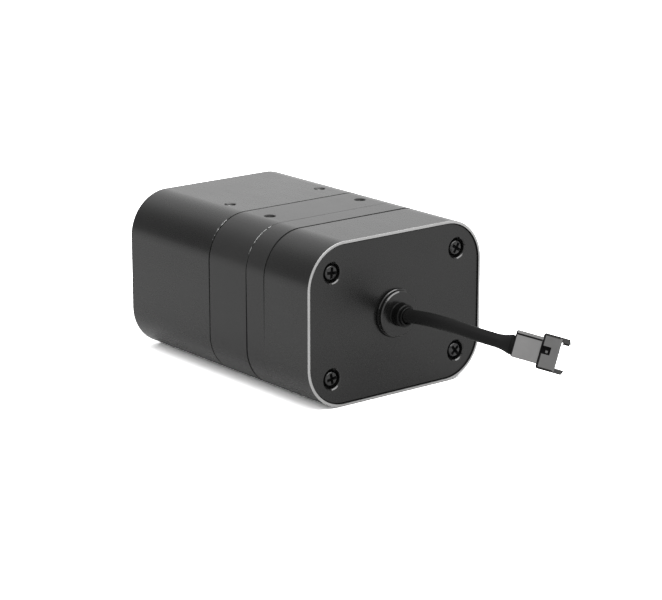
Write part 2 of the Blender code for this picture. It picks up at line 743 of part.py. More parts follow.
def make_gland():
    """Gland body with its flange outside the plate, and the nut that holds it from inside."""
    flange_top = FIT + FLANGE_THICKNESS
    boss_top = flange_top + BOSS_LENGTH
    stem_end = -PLATE_THICKNESS - 2 * FIT - NUT_THICKNESS
    profile = (
        (GLAND_BORE, boss_top),
        (BOSS_RADIUS - BOSS_CHAMFER, boss_top),
        (BOSS_RADIUS, boss_top - BOSS_CHAMFER),
        (BOSS_RADIUS, flange_top),
        (FLANGE_RADIUS - FLANGE_CHAMFER, flange_top),
        (FLANGE_RADIUS, flange_top - FLANGE_CHAMFER),
        (FLANGE_RADIUS, FIT),
        (STEM_RADIUS, FIT),
        (STEM_RADIUS, stem_end),
        (GLAND_BORE, stem_end),
    )
    gland = turned("cable_gland", profile, (0, PLATE_BACK_Y, MID_Z), "Y")
    loops = [ring_outline(NUT_RADIUS, 6), ring_outline(STEM_RADIUS + FIT, SHAFT_TURNS)]
    nut_y = PLATE_FRONT_Y + FIT + NUT_THICKNESS / 2
    nut = slab("gland_nut", loops, NUT_THICKNESS, (0, nut_y, MID_Z))
    return gland, nut


def connector_matrix():
    """The place of the connector's back: Z along its axis, X across its wide side."""
    yaw, pitch, roll = (math.radians(angle) for angle in (CONNECTOR_YAW, CONNECTOR_PITCH, CONNECTOR_ROLL))
    along = Vector((math.sin(yaw) * math.cos(pitch), -math.cos(yaw) * math.cos(pitch), math.sin(pitch)))
    side = Vector((math.cos(yaw), math.sin(yaw), 0.0))
    wide = along.cross(side) * math.cos(roll) + side * math.sin(roll)
    near = along.cross(wide)
    turn = Matrix((wide, near, along)).transposed().to_4x4()
    return Matrix.Translation(Vector((0.0, BACK_Y, MID_Z)) + Vector(CONNECTOR_PLACE)) @ turn


def make_cable():
    """The cable, which meets the collar of the connector square on."""
    middle = Vector((0.0, BACK_Y, MID_Z))
    points = [middle + Vector(point) for point in CABLE_ROUTE]
    end = -COLLAR_LENGTH - 2 * FIT
    for distance in (end - CABLE_TAIL, end):
        points.append(connector_matrix() @ Vector((COLLAR_X, 0.0, distance)))
    return tube("cable", smooth_route(points, CABLE_STEP), CABLE_RADIUS)


def connector_frame():
    """An empty that carries the connector's pieces."""
    frame = bpy.data.objects.new("connector_frame", None)
    frame.empty_display_size = PLUG_WIDTH
    PARTS.objects.link(frame)
    frame.matrix_world = connector_matrix()
    return frame


def make_connector():
    """A two-pole plug: body with a rail, head with a latch window, two prongs, contacts and a collar."""
    frame = connector_frame()
    head_start = PLUG_LENGTH
    head_end = head_start + HEAD_LENGTH
    half_head = HEAD_WIDTH / 2
    near = PLUG_THICKNESS / 2
    housing = block(
        "connector_housing", (-PLUG_WIDTH / 2, -near, 0.0), (PLUG_WIDTH / 2, near, head_start + HEAD_WALL)
    )
    head = block(
        "plug_head", (-half_head, -HEAD_THICKNESS / 2, head_start), (half_head, HEAD_THICKNESS / 2, head_end)
    )
    rail_low = (PLUG_WIDTH / 2 - RAIL_WIDTH, near - RAIL_HEIGHT, RAIL_HEIGHT)
    rail = block("plug_rail", rail_low, (PLUG_WIDTH / 2, near + RAIL_HEIGHT, head_start + HEAD_WALL / 2))
    groove_x = PLUG_WIDTH / 2 - RAIL_WIDTH - RAIL_GROOVE
    groove = block(
        "plug_groove",
        (groove_x, near - RAIL_GROOVE_DEPTH, -FIT),
        (groove_x + RAIL_GROOVE, near + FIT, head_start - FIT),
    )
    mouth = block(
        "plug_mouth",
        (-half_head + HEAD_WALL, -HEAD_THICKNESS / 2 + HEAD_WALL, head_start + HEAD_FLOOR),
        (half_head - HEAD_WALL, HEAD_THICKNESS / 2 - HEAD_WALL, head_end + HEAD_WALL),
    )
    latch = block(
        "latch_window",
        (LATCH_X - LATCH_WIDTH / 2, HEAD_THICKNESS / 2 - LATCH_DEPTH, head_start - FIT),
        (LATCH_X + LATCH_WIDTH / 2, HEAD_THICKNESS / 2 + FIT, head_start + LATCH_LENGTH),
    )
    prongs = [make_prong(side, head_end) for side in (-1, 1)]
    contacts = [make_contact(number, frame) for number in (1, 2)]
    cavities = [contact_cavity(number, frame) for number in (1, 2)]
    collar_profile = (
        (0.0, -FIT),
        (COLLAR_RADIUS, -FIT),
        (CABLE_RADIUS + FIT / 2, -FIT - COLLAR_LENGTH),
        (0.0, -FIT - COLLAR_LENGTH),
    )
    collar = turned("cable_collar", collar_profile, steps=SHAFT_TURNS, closed=False)
    collar.location.x = COLLAR_X
    for made in (housing, head, rail, groove, mouth, latch, collar, *prongs):
        made.parent = frame
    join(housing, head)
    join(housing, rail)
    cut(housing, groove)
    for prong in prongs:
        join(housing, prong)
    cut(housing, mouth)
    cut(housing, latch)
    for cavity in cavities:
        cut(housing, cavity)
    return housing, contacts, collar


def make_prong(side, head_end):
    """A guide prong that runs on from a short side of the head, with a slanted tip."""
    outer = HEAD_WIDTH / 2
    inner = outer - HEAD_WALL
    loop = [
        (inner, 0.0),
        (outer, 0.0),
        (outer, PRONG_LENGTH + HEAD_WALL - PRONG_SLANT),
        (inner, PRONG_LENGTH + HEAD_WALL),
    ]
    if side < 0:
        loop = [(-across, along) for across, along in reversed(loop)]
    prong = slab(f"plug_prong_{side + 2}", [loop], PRONG_WIDTH, axis="Y")
    prong.location = (0, 0, head_end - HEAD_WALL)
    return prong


def contact_x(number):
    return (number - 1.5) * CONTACT_PITCH


def make_contact(number, frame):
    half = CONTACT_SIZE / 2
    start = CONTACT_SET_IN
    made = block(
        f"contact_{number}",
        (contact_x(number) - half, -half, start),
        (contact_x(number) + half, half, start + CONTACT_LENGTH),
    )
    bevel = made.modifiers.new("edges", "BEVEL")
    bevel.width = CONTACT_EDGE
    bevel.segments = 1
    made.parent = frame
    return made


def contact_cavity(number, frame):
    half = CONTACT_SIZE / 2 + FIT
    made = block(
        f"contact_cavity_{number}",
        (contact_x(number) - half, -half, CONTACT_SET_IN - FIT),
        (contact_x(number) + half, half, PLUG_LENGTH + HEAD_FLOOR + FIT),
    )
    made.parent = frame
    return made


def standoff_places():
    across = board_width() / 2 - STANDOFF_INSET
    along = board_height() / 2 - STANDOFF_INSET
    return [(side * across, level * along) for side, level in corner_signs()]


def board_width():
    return 2 * (SCREW_X - SCREW_RADIUS - BOARD_CLEARANCE) - 2 * BOARD_CLEARANCE


def board_height():
    return BODY_HEIGHT - 2 * (WALL + MOUNT_PAD_HEIGHT + BOARD_CLEARANCE)


def make_optics_frame():
    """Bulkhead that the housing clamps at its edge, with the shelf and two gussets."""
    frame = section("optics_frame", SPIGOT_INSET, BULKHEAD_BACK_Y, BULKHEAD_FRONT_Y)
    shelf_low = (-SHELF_HALF, (BULKHEAD_BACK_Y + BULKHEAD_FRONT_Y) / 2, SHELF_TOP_Z - SHELF_THICKNESS)
    shelf = block("shelf", shelf_low, (SHELF_HALF, FRONT_WALL_Y - SHELF_CLEARANCE, SHELF_TOP_Z))
    join(frame, shelf)
    root = SHELF_THICKNESS / 2
    triangle = [
        (-root, -root),
        (GUSSET_LENGTH, -root),
        (GUSSET_LENGTH, 0.0),
        (0.0, GUSSET_HEIGHT),
        (-root, GUSSET_HEIGHT),
    ]
    for side in (-1, 1):
        place = (side * (SHELF_HALF - GUSSET_THICKNESS), BULKHEAD_FRONT_Y, SHELF_TOP_Z)
        join(frame, slab(f"gusset_{side + 2}", [triangle], GUSSET_THICKNESS, place, "X"))
    middle_y = (BULKHEAD_BACK_Y + BULKHEAD_FRONT_Y) / 2
    for number, (side, level) in enumerate(corner_signs(), 1):
        place = (side * SCREW_X, middle_y, MID_Z + level * SCREW_Z)
        loop = ring_outline(SCREW_RADIUS + 2 * FIT, PAN_SEGMENTS)
        cut(frame, slab(f"frame_screw_hole_{number}", [loop], 2 * BULKHEAD_THICKNESS, place))
    for number, (across, along) in enumerate(standoff_places(), 1):
        loop = ring_outline(STUD_RADIUS + FIT, PAN_SEGMENTS)
        place = (across, middle_y, MID_Z + along)
        cut(frame, slab(f"stud_hole_{number}", [loop], 2 * BULKHEAD_THICKNESS, place))
    slot = rounded_outline(PASS_SLOT_WIDTH, PASS_SLOT_HEIGHT, PASS_SLOT_RADIUS)
    cut(frame, slab("pass_slot", [slot], 2 * BULKHEAD_THICKNESS, (0, middle_y, MID_Z)))
    loop = ring_outline(SHAFT_RADIUS + 2 * AIR_GAP, SHAFT_TURNS)
    hole_place = (MIRROR_X, MIRROR_Y, SHELF_TOP_Z - SHELF_THICKNESS / 2)
    cut(frame, slab("shaft_hole", [loop], 2 * SHELF_THICKNESS, hole_place, "Z"))
    return frame


def make_motor():
    """The fixed half of the scan motor: base with its bearing tube, stator and two bearings."""
    shelf = (MIRROR_X, MIRROR_Y, SHELF_TOP_Z)
    base_profile = (
        (TUBE_BORE, TUBE_TOP),
        (TUBE_OUTSIDE, TUBE_TOP),
        (TUBE_OUTSIDE, FLANGE_TOP),
        (ROTOR_RADIUS, FLANGE_TOP),
        (ROTOR_RADIUS, FIT),
        (TUBE_BORE, FIT),
    )
    base = turned("motor_base", base_profile, shelf)
    stator_place = (MIRROR_X, MIRROR_Y, SHELF_TOP_Z + STATOR_BOTTOM + STATOR_HEIGHT / 2)
    loops = [stator_outline(), ring_outline(TUBE_OUTSIDE + FIT, ROUND_STEPS)]
    stator = slab("motor_stator", loops, STATOR_HEIGHT, stator_place, "Z")
    bearings = []
    for name, bottom in (("bearing_lower", 2 * FIT), ("bearing_upper", TUBE_TOP - FIT - BEARING_WIDTH)):
        top = bottom + BEARING_WIDTH
        profile = (
            (BEARING_BORE, top),
            (BEARING_BORE + BEARING_RACE, top),
            (BEARING_BORE + BEARING_RACE, top - SHIELD_DEPTH),
            (BEARING_RADIUS - BEARING_RACE, top - SHIELD_DEPTH),
            (BEARING_RADIUS - BEARING_RACE, top),
            (BEARING_RADIUS, top),
            (BEARING_RADIUS, bottom),
            (BEARING_BORE, bottom),
        )
        bearings.append(turned(name, profile, shelf, steps=SHAFT_TURNS))
    return base, stator, bearings


def stator_outline():
    """A toothed core: stems on a yoke, each with a wider shoe at its tip."""
    neck = YOKE_RADIUS + TOOTH_LENGTH
    shoe_half = math.asin(SHOE_WIDTH / 2 / STATOR_RADIUS)
    points = []
    for tooth in range(STATOR_TEETH):
        middle = math.radians(360) * tooth / STATOR_TEETH
        stem = TOOTH_WIDTH / 2
        corners = (
            (YOKE_RADIUS, -math.asin(stem / YOKE_RADIUS)),
            (neck, -math.asin(stem / neck)),
            (neck, -shoe_half),
            (STATOR_RADIUS, -shoe_half),
            (STATOR_RADIUS, 0.0),
            (STATOR_RADIUS, shoe_half),
            (neck, shoe_half),
            (neck, math.asin(stem / neck)),
            (YOKE_RADIUS, math.asin(stem / YOKE_RADIUS)),
        )
        for radius, angle in corners:
            points.append((radius * math.cos(middle + angle), radius * math.sin(middle + angle)))
    return points


def make_mirror():
    """The turning half, on an empty on the shaft's axis: shaft, cup, magnet, disc, polygon and clamp."""
    axis = bpy.data.objects.new("mirror_axis", None)
    axis.empty_display_size = POLYGON_RADIUS
    axis.location = (MIRROR_X, MIRROR_Y, SHELF_TOP_Z)
    PARTS.objects.link(axis)
    clamp_bottom = POLYGON_TOP + FIT
    clamp_top = clamp_bottom + CLAMP_THICKNESS
    shaft_profile = (
        (0.0, clamp_top + FIT),
        (SHAFT_RADIUS, clamp_top + FIT),
        (SHAFT_RADIUS, FIT),
        (0.0, FIT),
    )
    shaft = turned("mirror_shaft", shaft_profile, steps=SHAFT_TURNS, closed=False)
    cup_profile = (
        (BEARING_BORE, CUP_TOP_FACE + HUB_HEIGHT),
        (HUB_RADIUS, CUP_TOP_FACE + HUB_HEIGHT),
        (HUB_RADIUS, CUP_TOP_FACE),
        (CUP_RADIUS, CUP_TOP_FACE),
        (CUP_RADIUS, STATOR_BOTTOM),
        (CUP_INSIDE, STATOR_BOTTOM),
        (CUP_INSIDE, CUP_UNDERSIDE),
        (BEARING_BORE, CUP_UNDERSIDE),
    )
    cup = turned("rotor_cup", cup_profile)
    magnet_profile = (
        (MAGNET_INSIDE, CUP_UNDERSIDE - FIT),
        (MAGNET_OUTSIDE, CUP_UNDERSIDE - FIT),
        (MAGNET_OUTSIDE, STATOR_BOTTOM),
        (MAGNET_INSIDE, STATOR_BOTTOM),
    )
    magnet = turned("rotor_magnet", magnet_profile)
    hub_hole = ring_outline(HUB_RADIUS + FIT, SHAFT_TURNS)
    disc_z = ENCODER_BOTTOM + ENCODER_THICKNESS / 2
    disc = slab("encoder_disc", [encoder_outline(), hub_hole], ENCODER_THICKNESS, (0, 0, disc_z), "Z")
    height = POLYGON_TOP - POLYGON_BOTTOM
    polygon_z = (POLYGON_TOP + POLYGON_BOTTOM) / 2
    polygon = slab("polygon_mirror", [polygon_outline(), hub_hole], height, (0, 0, polygon_z), "Z")
    clamp_profile = (
        (BEARING_BORE, clamp_top),
        (CLAMP_RADIUS, clamp_top),
        (CLAMP_RADIUS, clamp_bottom),
        (HUB_RADIUS, clamp_bottom),
        (HUB_RADIUS, clamp_bottom - CLAMP_PLUG),
        (BEARING_BORE, clamp_bottom - CLAMP_PLUG),
    )
    clamp = turned("mirror_clamp", clamp_profile, steps=SHAFT_TURNS)
    pieces = [shaft, cup, magnet, disc, polygon, clamp]
    for made in pieces:
        made.parent = axis
    return pieces


def encoder_outline():
    points = []
    pitch = math.radians(360) / ENCODER_SLOTS
    inner = ENCODER_RADIUS - ENCODER_SLOT_DEPTH
    for slot in range(ENCODER_SLOTS):
        for radius, part in ((ENCODER_RADIUS, 0.0), (ENCODER_RADIUS, 0.5), (inner, 0.5), (inner, 1.0)):
            angle = pitch * (slot + part)
            points.append((radius * math.cos(angle), radius * math.sin(angle)))
    return points


def polygon_outline():
    """A regular prism's section with narrow flats on its edges, one facet towards the optics and front."""
    points = []
    for corner in range(POLYGON_FACETS):
        middle = math.radians(360) * corner / POLYGON_FACETS
        tip = Vector((math.cos(middle), math.sin(middle)))
        along = Vector((-tip.y, tip.x))
        flat = tip * (POLYGON_RADIUS - POLYGON_EDGE / 2)
        points.extend([tuple(flat - along * POLYGON_EDGE / 2), tuple(flat + along * POLYGON_EDGE / 2)])
    return points


def make_encoder_sensor():
    """A fork that the rim of the encoder disc runs through."""
    back = MIRROR_Y - ENCODER_RADIUS - AIR_GAP - SENSOR_BACK
    front = MIRROR_Y - ROTOR_RADIUS - AIR_GAP
    slot_low = SHELF_TOP_Z + ENCODER_BOTTOM - AIR_GAP
    slot_high = SHELF_TOP_Z + ENCODER_BOTTOM + ENCODER_THICKNESS + AIR_GAP
    half = SENSOR_WIDTH / 2
    sensor = block(
        "encoder_sensor",
        (MIRROR_X - half, back, SHELF_TOP_Z + FIT),
        (MIRROR_X + half, front, slot_high + SENSOR_JAW),
    )
    slot = block(
        "sensor_slot",
        (MIRROR_X - SENSOR_WIDTH, back + SENSOR_BACK, slot_low),
        (MIRROR_X + SENSOR_WIDTH, front + SENSOR_BACK, slot_high),
    )
    cut(sensor, slot)
    return sensor


def make_optics():
    """The block beside the mirror with the emitter below and the receiver above, and its board."""
    half_depth = RECEIVER_RADIUS + FIT + OPTICS_WALL
    top_z = RECEIVER_Z + half_depth
    optics = block(
        "optics_block",
        (OPTICS_LEFT_X, BEAM_Y - half_depth, SHELF_TOP_Z + FIT),
        (OPTICS_RIGHT_X, BEAM_Y + half_depth, top_z),
    )
    bevel = optics.modifiers.new("edges", "BEVEL")
    bevel.width = OPTICS_EDGE
    bevel.segments = 1
    emitter = (OPTICS_LEFT_X, BEAM_Y, EMITTER_Z)
    receiver = (OPTICS_LEFT_X, BEAM_Y, RECEIVER_Z)
    cut(optics, channel_bore("emitter_bore", emitter, EMITTER_RADIUS, DIODE_CAN_RADIUS, EMITTER_RADIUS))
    cut(
        optics,
        channel_bore(
            "receiver_bore", receiver, RECEIVER_RADIUS, DETECTOR_CAN_RADIUS, DETECTOR_FLANGE_RADIUS
        ),
    )
    lenses = [
        make_lens("emitter_lens", emitter, EMITTER_RADIUS, EMITTER_BULGE),
        make_lens("receiver_lens", receiver, RECEIVER_RADIUS, RECEIVER_BULGE),
    ]
    cans = [
        make_can("laser_diode", emitter, DIODE_CAN_RADIUS, EMITTER_RADIUS),
        make_can("photodetector", receiver, DETECTOR_CAN_RADIUS, DETECTOR_FLANGE_RADIUS),
    ]
    board = block(
        "transceiver_board",
        (OPTICS_LEFT_X - FIT - BOARD_THICKNESS, BEAM_Y - half_depth, SHELF_TOP_Z + FIT),
        (OPTICS_LEFT_X - FIT, BEAM_Y + half_depth, top_z),
    )
    return optics, lenses, cans, board


def channel_bore(name, place, lens_radius, can_radius, flange_radius):
    """One stepped bore along X: can at the back, a narrow stretch, and the lens seat in front."""
    profile = (
        (0.0, OPTICS_LENGTH + WALL),
        (lens_radius + FIT, OPTICS_LENGTH + WALL),
        (lens_radius + FIT, OPTICS_LENGTH - LENS_SEAT),
        (can_radius + FIT, OPTICS_LENGTH - LENS_SEAT),
        (can_radius + FIT, CAN_SET_IN + CAN_FLANGE + FIT),
        (flange_radius + FIT, CAN_SET_IN + CAN_FLANGE + FIT),
        (flange_radius + FIT, -WALL),
        (0.0, -WALL),
    )
    return turned(name, profile, place, "X", SHAFT_TURNS, closed=False)


def make_lens(name, place, radius, bulge):
    """A lens with a flat back and a domed front."""
    flat = OPTICS_LENGTH - LENS_SEAT + FIT
    profile = []
    for step in range(DOME_STEPS + 1):
        part = step / DOME_STEPS
        profile.append((radius * part, flat + LENS_EDGE + bulge * (1 - part**2)))
    profile += [(radius, flat), (0.0, flat)]
    return turned(name, profile, place, "X", SHAFT_TURNS, closed=False)


def make_can(name, place, radius, flange_radius):
    """A diode in a metal can on a round flange."""
    top = CAN_SET_IN + CAN_FLANGE + CAN_LENGTH
    profile = (
        (0.0, top),
        (radius, top),
        (radius, CAN_SET_IN + CAN_FLANGE),
        (flange_radius, CAN_SET_IN + CAN_FLANGE),
        (flange_radius, CAN_SET_IN),
        (0.0, CAN_SET_IN),
    )
    return turned(name, profile, place, "X", SHAFT_TURNS, closed=False)


def make_boards():
    """Main board on standoffs behind the bulkhead, and its processor and screws."""
    standoff_front = BULKHEAD_BACK_Y - FIT
    standoff_back = standoff_front - STANDOFF_LENGTH
    board_front = standoff_back - FIT
    board_back = board_front - BOARD_THICKNESS
    loops = [rounded_outline(board_width(), board_height(), BOARD_CORNER)]
    for place in standoff_places():
        loops.append(ring_outline(BOARD_SCREW_RADIUS + FIT, PAN_SEGMENTS, place))
    board = slab("main_board", loops, BOARD_THICKNESS, (0, (board_front + board_back) / 2, MID_Z))
    half = PROCESSOR_SIZE / 2
    processor = block(
        "processor",
        (-half, board_back - FIT - PROCESSOR_THICKNESS, MID_Z - half),
        (half, board_back - FIT, MID_Z + half),
    )
    standoffs, screws = [], []
    for number, (across, along) in enumerate(standoff_places(), 1):
        standoffs.append(make_standoff(number, (across, standoff_back, MID_Z + along)))
        screws.append(make_board_screw(number, (across, board_back - FIT, MID_Z + along)))
    return board, processor, standoffs, screws


def make_standoff(number, place):
    """A hexagonal pillar with a stud that goes through the bulkhead and a bore for the board's screw."""
    place = (place[0], place[1] + STANDOFF_LENGTH / 2, place[2])
    pillar = slab(f"standoff_{number}", [ring_outline(STANDOFF_RADIUS, 6)], STANDOFF_LENGTH, place)
    stud_length = FIT + STUD_LENGTH + STUD_RADIUS
    stud_y = place[1] + STANDOFF_LENGTH / 2 - STUD_RADIUS + stud_length / 2
    stud = slab(
        f"stud_{number}", [ring_outline(STUD_RADIUS, PAN_SEGMENTS)], stud_length, (place[0], stud_y, place[2])
    )
    join(pillar, stud)
    bore_depth = BOARD_SCREW_LENGTH - BOARD_THICKNESS
    bore_place = (place[0], place[1] - STANDOFF_LENGTH / 2, place[2])
    bore = slab(
        f"standoff_bore_{number}", [ring_outline(STANDOFF_BORE, PAN_SEGMENTS)], 2 * bore_depth, bore_place
    )
    cut(pillar, bore)
    return pillar


def make_board_screw(number, place):
    profile = pan_profile(
        BOARD_SCREW_HEAD,
        BOARD_SCREW_FLAT,
        BOARD_SCREW_HEAD_HEIGHT,
        BOARD_SCREW_CROWN,
        BOARD_SCREW_RADIUS,
        BOARD_SCREW_LENGTH,
    )
    return turned(f"board_screw_{number}", profile, place, "Y", PAN_SEGMENTS, closed=False)


def make_power_board():
    """The board that slides between the rear housing's ribs, with what stands on it."""
    half = BODY_WIDTH / 2 - WALL - FIT
    front = REAR_FRONT_Y - FIT
    back = front - POWER_BOARD_LENGTH
    board = block(
        "power_board", (-half, back, POWER_BOARD_Z), (half, front, POWER_BOARD_Z + BOARD_THICKNESS)
    )
    seat_z = POWER_BOARD_Z + BOARD_THICKNESS + FIT
    middle_y = (front + back) / 2
    header = block(
        "cable_header",
        (-HEADER_WIDTH / 2, middle_y - HEADER_LENGTH / 2, seat_z),
        (HEADER_WIDTH / 2, middle_y + HEADER_LENGTH / 2, seat_z + HEADER_HEIGHT),
    )
    can = (
        (0.0, CAPACITOR_HEIGHT),
        (CAPACITOR_RADIUS - CAPACITOR_EDGE, CAPACITOR_HEIGHT),
        (CAPACITOR_RADIUS, CAPACITOR_HEIGHT - CAPACITOR_EDGE),
        (CAPACITOR_RADIUS, 0.0),
        (0.0, 0.0),
    )
    capacitor = turned(
        "capacitor", can, (COMPONENT_SPREAD, middle_y, seat_z), steps=SHAFT_TURNS, closed=False
    )
    coil = block(
        "inductor",
        (-COMPONENT_SPREAD - INDUCTOR_SIZE / 2, middle_y - INDUCTOR_SIZE / 2, seat_z),
        (-COMPONENT_SPREAD + INDUCTOR_SIZE / 2, middle_y + INDUCTOR_SIZE / 2, seat_z + INDUCTOR_HEIGHT),
    )
    bevel = coil.modifiers.new("edges", "BEVEL")
    bevel.width = INDUCTOR_EDGE
    bevel.segments = 2
    header_top = Vector((0.0, middle_y, seat_z + HEADER_HEIGHT + FIT))
    gland_end = Vector((0.0, PLATE_FRONT_Y + FIT + NUT_THICKNESS, MID_Z))
    bend = Vector((0.0, header_top.y - LEAD_RADIUS / 2, max(gland_end.z, header_top.z + 2 * LEAD_RADIUS)))
    route = [gland_end, (gland_end + bend) / 2, bend, header_top]
    lead = tube("inner_lead", smooth_route(route, LEAD_RADIUS * 1.5), LEAD_RADIUS)
    return board, header, capacitor, coil, lead


def make_all():
    start_scene()
    dark_metal = finish("dark_anodised", (0.085, 0.087, 0.090), 0.42, 0.6)
    plate_metal = finish("dark_plate", (0.055, 0.056, 0.058), 0.38, 0.5)
    black_steel = finish("blackened_steel", (0.020, 0.020, 0.021), 0.40, 0.8)
    bright_steel = finish("bright_steel", (0.62, 0.62, 0.60), 0.25, 1.0)
    bare_metal = finish("bare_aluminium", (0.70, 0.71, 0.72), 0.35, 1.0)
    mirror = finish("mirror_coat", (0.92, 0.90, 0.84), 0.05, 1.0)
    rubber = finish("black_rubber", (0.012, 0.012, 0.012), 0.75, 0.0)
    sheath = finish("cable_sheath", (0.016, 0.016, 0.017), 0.55, 0.0)
    smoked = finish("smoked_window", (0.010, 0.006, 0.009), 0.06, 0.0)
    lens_glass = finish("lens_glass", (0.60, 0.66, 0.70), 0.05, 0.0)
    board_green = finish("board_laminate", (0.018, 0.105, 0.050), 0.45, 0.0)
    chip_black = finish("moulded_black", (0.018, 0.018, 0.019), 0.50, 0.0)
    plug_grey = finish("plug_nylon", (0.33, 0.33, 0.32), 0.45, 0.0)
    copper = finish("contact_tin", (0.75, 0.72, 0.66), 0.30, 1.0)
    core_steel = finish("laminated_core", (0.28, 0.27, 0.27), 0.45, 0.9)

    dress(make_housing(), dark_metal)
    dress(make_seals(), rubber)
    window, gasket = make_window()
    dress([window], smoked)
    dress([gasket], rubber)
    dress([make_rear_plate()], plate_metal)
    dress(make_stack_screws(), black_steel)
    gland, nut = make_gland()
    dress([gland], chip_black)
    dress([nut], bright_steel)
    dress([make_cable()], sheath)
    housing, contacts, collar = make_connector()
    dress([housing], plug_grey)
    dress(contacts, copper)
    dress([collar], sheath)

    dress([make_optics_frame()], bare_metal)
    base, stator, bearings = make_motor()
    dress([base], bare_metal)
    dress([stator], core_steel)
    dress(bearings, bright_steel)
    shaft, cup, magnet, disc, polygon, clamp = make_mirror()
    dress([shaft], bright_steel)
    dress([cup], bare_metal)
    dress([magnet], core_steel)
    dress([disc], black_steel)
    dress([polygon], mirror)
    dress([clamp], bright_steel)
    dress([make_encoder_sensor()], chip_black)
    optics, lenses, cans, board = make_optics()
    dress([optics], black_steel)
    dress(lenses, lens_glass)
    dress(cans, bright_steel)
    dress([board], board_green)
    board, processor, standoffs, screws = make_boards()
    dress([board], board_green)
    dress([processor], chip_black)
    dress(standoffs, bare_metal)
    dress(screws, bright_steel)
    board, header, capacitor, coil, lead = make_power_board()
    dress([board], board_green)
    dress([header, coil], chip_black)
    dress([capacitor], bare_metal)
    dress([lead], sheath)
    shade_parts()


make_all()
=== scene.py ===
# %% [markdown]
# # A lidar scanner module in Blender
# This lesson dresses a small laser scanner: a dark metal box in four stacked sections, with a plate and
# a short cable at the back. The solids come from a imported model, so every piece has its place already,
# and the work here is in the edges, the finishes and the light. Blender counts in metres, as the model
# does. The shape tools below take millimetres, which are easier to read at this size.

import math

import bmesh
import bpy
from mathutils import Matrix, Vector


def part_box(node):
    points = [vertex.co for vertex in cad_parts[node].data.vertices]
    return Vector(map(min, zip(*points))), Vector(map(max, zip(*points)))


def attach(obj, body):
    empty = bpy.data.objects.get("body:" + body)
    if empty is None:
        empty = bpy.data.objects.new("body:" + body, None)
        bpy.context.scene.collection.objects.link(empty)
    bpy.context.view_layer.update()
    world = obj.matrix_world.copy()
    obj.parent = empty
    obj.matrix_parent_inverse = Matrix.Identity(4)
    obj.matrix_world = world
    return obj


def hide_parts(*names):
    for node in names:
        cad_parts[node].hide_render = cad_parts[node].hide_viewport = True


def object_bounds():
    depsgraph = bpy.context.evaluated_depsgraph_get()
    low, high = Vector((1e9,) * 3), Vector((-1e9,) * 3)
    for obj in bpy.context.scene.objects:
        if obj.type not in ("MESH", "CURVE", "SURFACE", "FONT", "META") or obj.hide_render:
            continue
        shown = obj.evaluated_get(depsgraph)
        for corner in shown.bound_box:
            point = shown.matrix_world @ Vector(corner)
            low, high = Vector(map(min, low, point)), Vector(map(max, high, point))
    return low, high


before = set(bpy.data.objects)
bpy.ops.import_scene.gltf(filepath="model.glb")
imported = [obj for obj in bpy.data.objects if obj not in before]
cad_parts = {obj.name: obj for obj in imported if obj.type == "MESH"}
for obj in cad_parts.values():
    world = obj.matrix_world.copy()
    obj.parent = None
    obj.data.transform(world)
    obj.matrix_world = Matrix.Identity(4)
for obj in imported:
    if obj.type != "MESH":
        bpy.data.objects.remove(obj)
cad_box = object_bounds()
MM = 0.001

# %% [markdown]
# ## The camera
# The photograph was taken from behind, from the left and a little above, with a long lens: the edges of
# the box hardly converge. A camera in Blender looks along its own -Z. It could be turned by three
# angles, but its axes are easier to follow when they are built from the looking direction and a level
# line.

# %% Camera
CAMERA_PLACE = Vector((-0.40525, -0.51653, 0.19676))
LOOK = Vector((0.60462, 0.75169, -0.26344)).normalized()
LENS = 132.55
SENSOR_WIDTH = 36.0


def add_object(name, data):
    made = bpy.data.objects.new(name, data)
    bpy.context.scene.collection.objects.link(made)
    return made


def aim_camera(name, place, look, lens):
    level = look.cross(Vector((0, 0, 1))).normalized()
    upward = level.cross(look)
    turn = Matrix((level, upward, -look)).transposed().to_4x4()
    data = bpy.data.cameras.new(name)
    data.lens = lens
    data.sensor_width = SENSOR_WIDTH
    data.clip_start = 0.01
    made = add_object(name, data)
    made.matrix_world = Matrix.Translation(place) @ turn
    return made


bpy.context.scene.camera = aim_camera("photo_camera", CAMERA_PLACE, LOOK, LENS)
print("camera stands", round(CAMERA_PLACE.length, 3), "m from the module")

# %% [markdown]
# ## Where the plug lies
# The cable ends in a plug that hangs free behind the module, turned so that its wide side shows. Its
# place comes first, because the cable has to run straight into it. The plug could be turned by hand,
# but a matrix built from its three directions also serves the cable's last points.

# %% Where the plug lies
LOW, HIGH = cad_box
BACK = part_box("rear_shell")[0].y
MID_Z = (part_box("rear_shell")[0].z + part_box("rear_shell")[1].z) / 2
PLUG_PLACE = Vector((0.01164, BACK - 0.03325, MID_Z - 0.00284))
PLUG_YAW, PLUG_PITCH, PLUG_ROLL = 42.1, -13.8, 16.9


def plug_matrix(place, angles):
    """Z runs along the plug away from the cable, X across its wide side."""
    yaw, pitch, roll = (math.radians(angle) for angle in angles)
    along = Vector((math.sin(yaw) * math.cos(pitch), -math.cos(yaw) * math.cos(pitch), math.sin(pitch)))
    side = Vector((math.cos(yaw), math.sin(yaw), 0.0))
    wide = along.cross(side) * math.cos(roll) + side * math.sin(roll)
    near = along.cross(wide)
    return Matrix.Translation(place) @ Matrix((wide, near, along)).transposed().to_4x4()


plug_space = plug_matrix(PLUG_PLACE, (PLUG_YAW, PLUG_PITCH, PLUG_ROLL))
print("plug points along", [round(value, 3) for value in plug_space.col[2][:3]])

# %% [markdown]
# ## The cable
# The real cable is a round black sheath of under four millimetres, which leaves the gland in the middle
# of the rear plate. A tube could be swept as a mesh, but a curve with a round bevel stays easy to
# reshape, so the route's points are given once and a smooth curve is read between them.

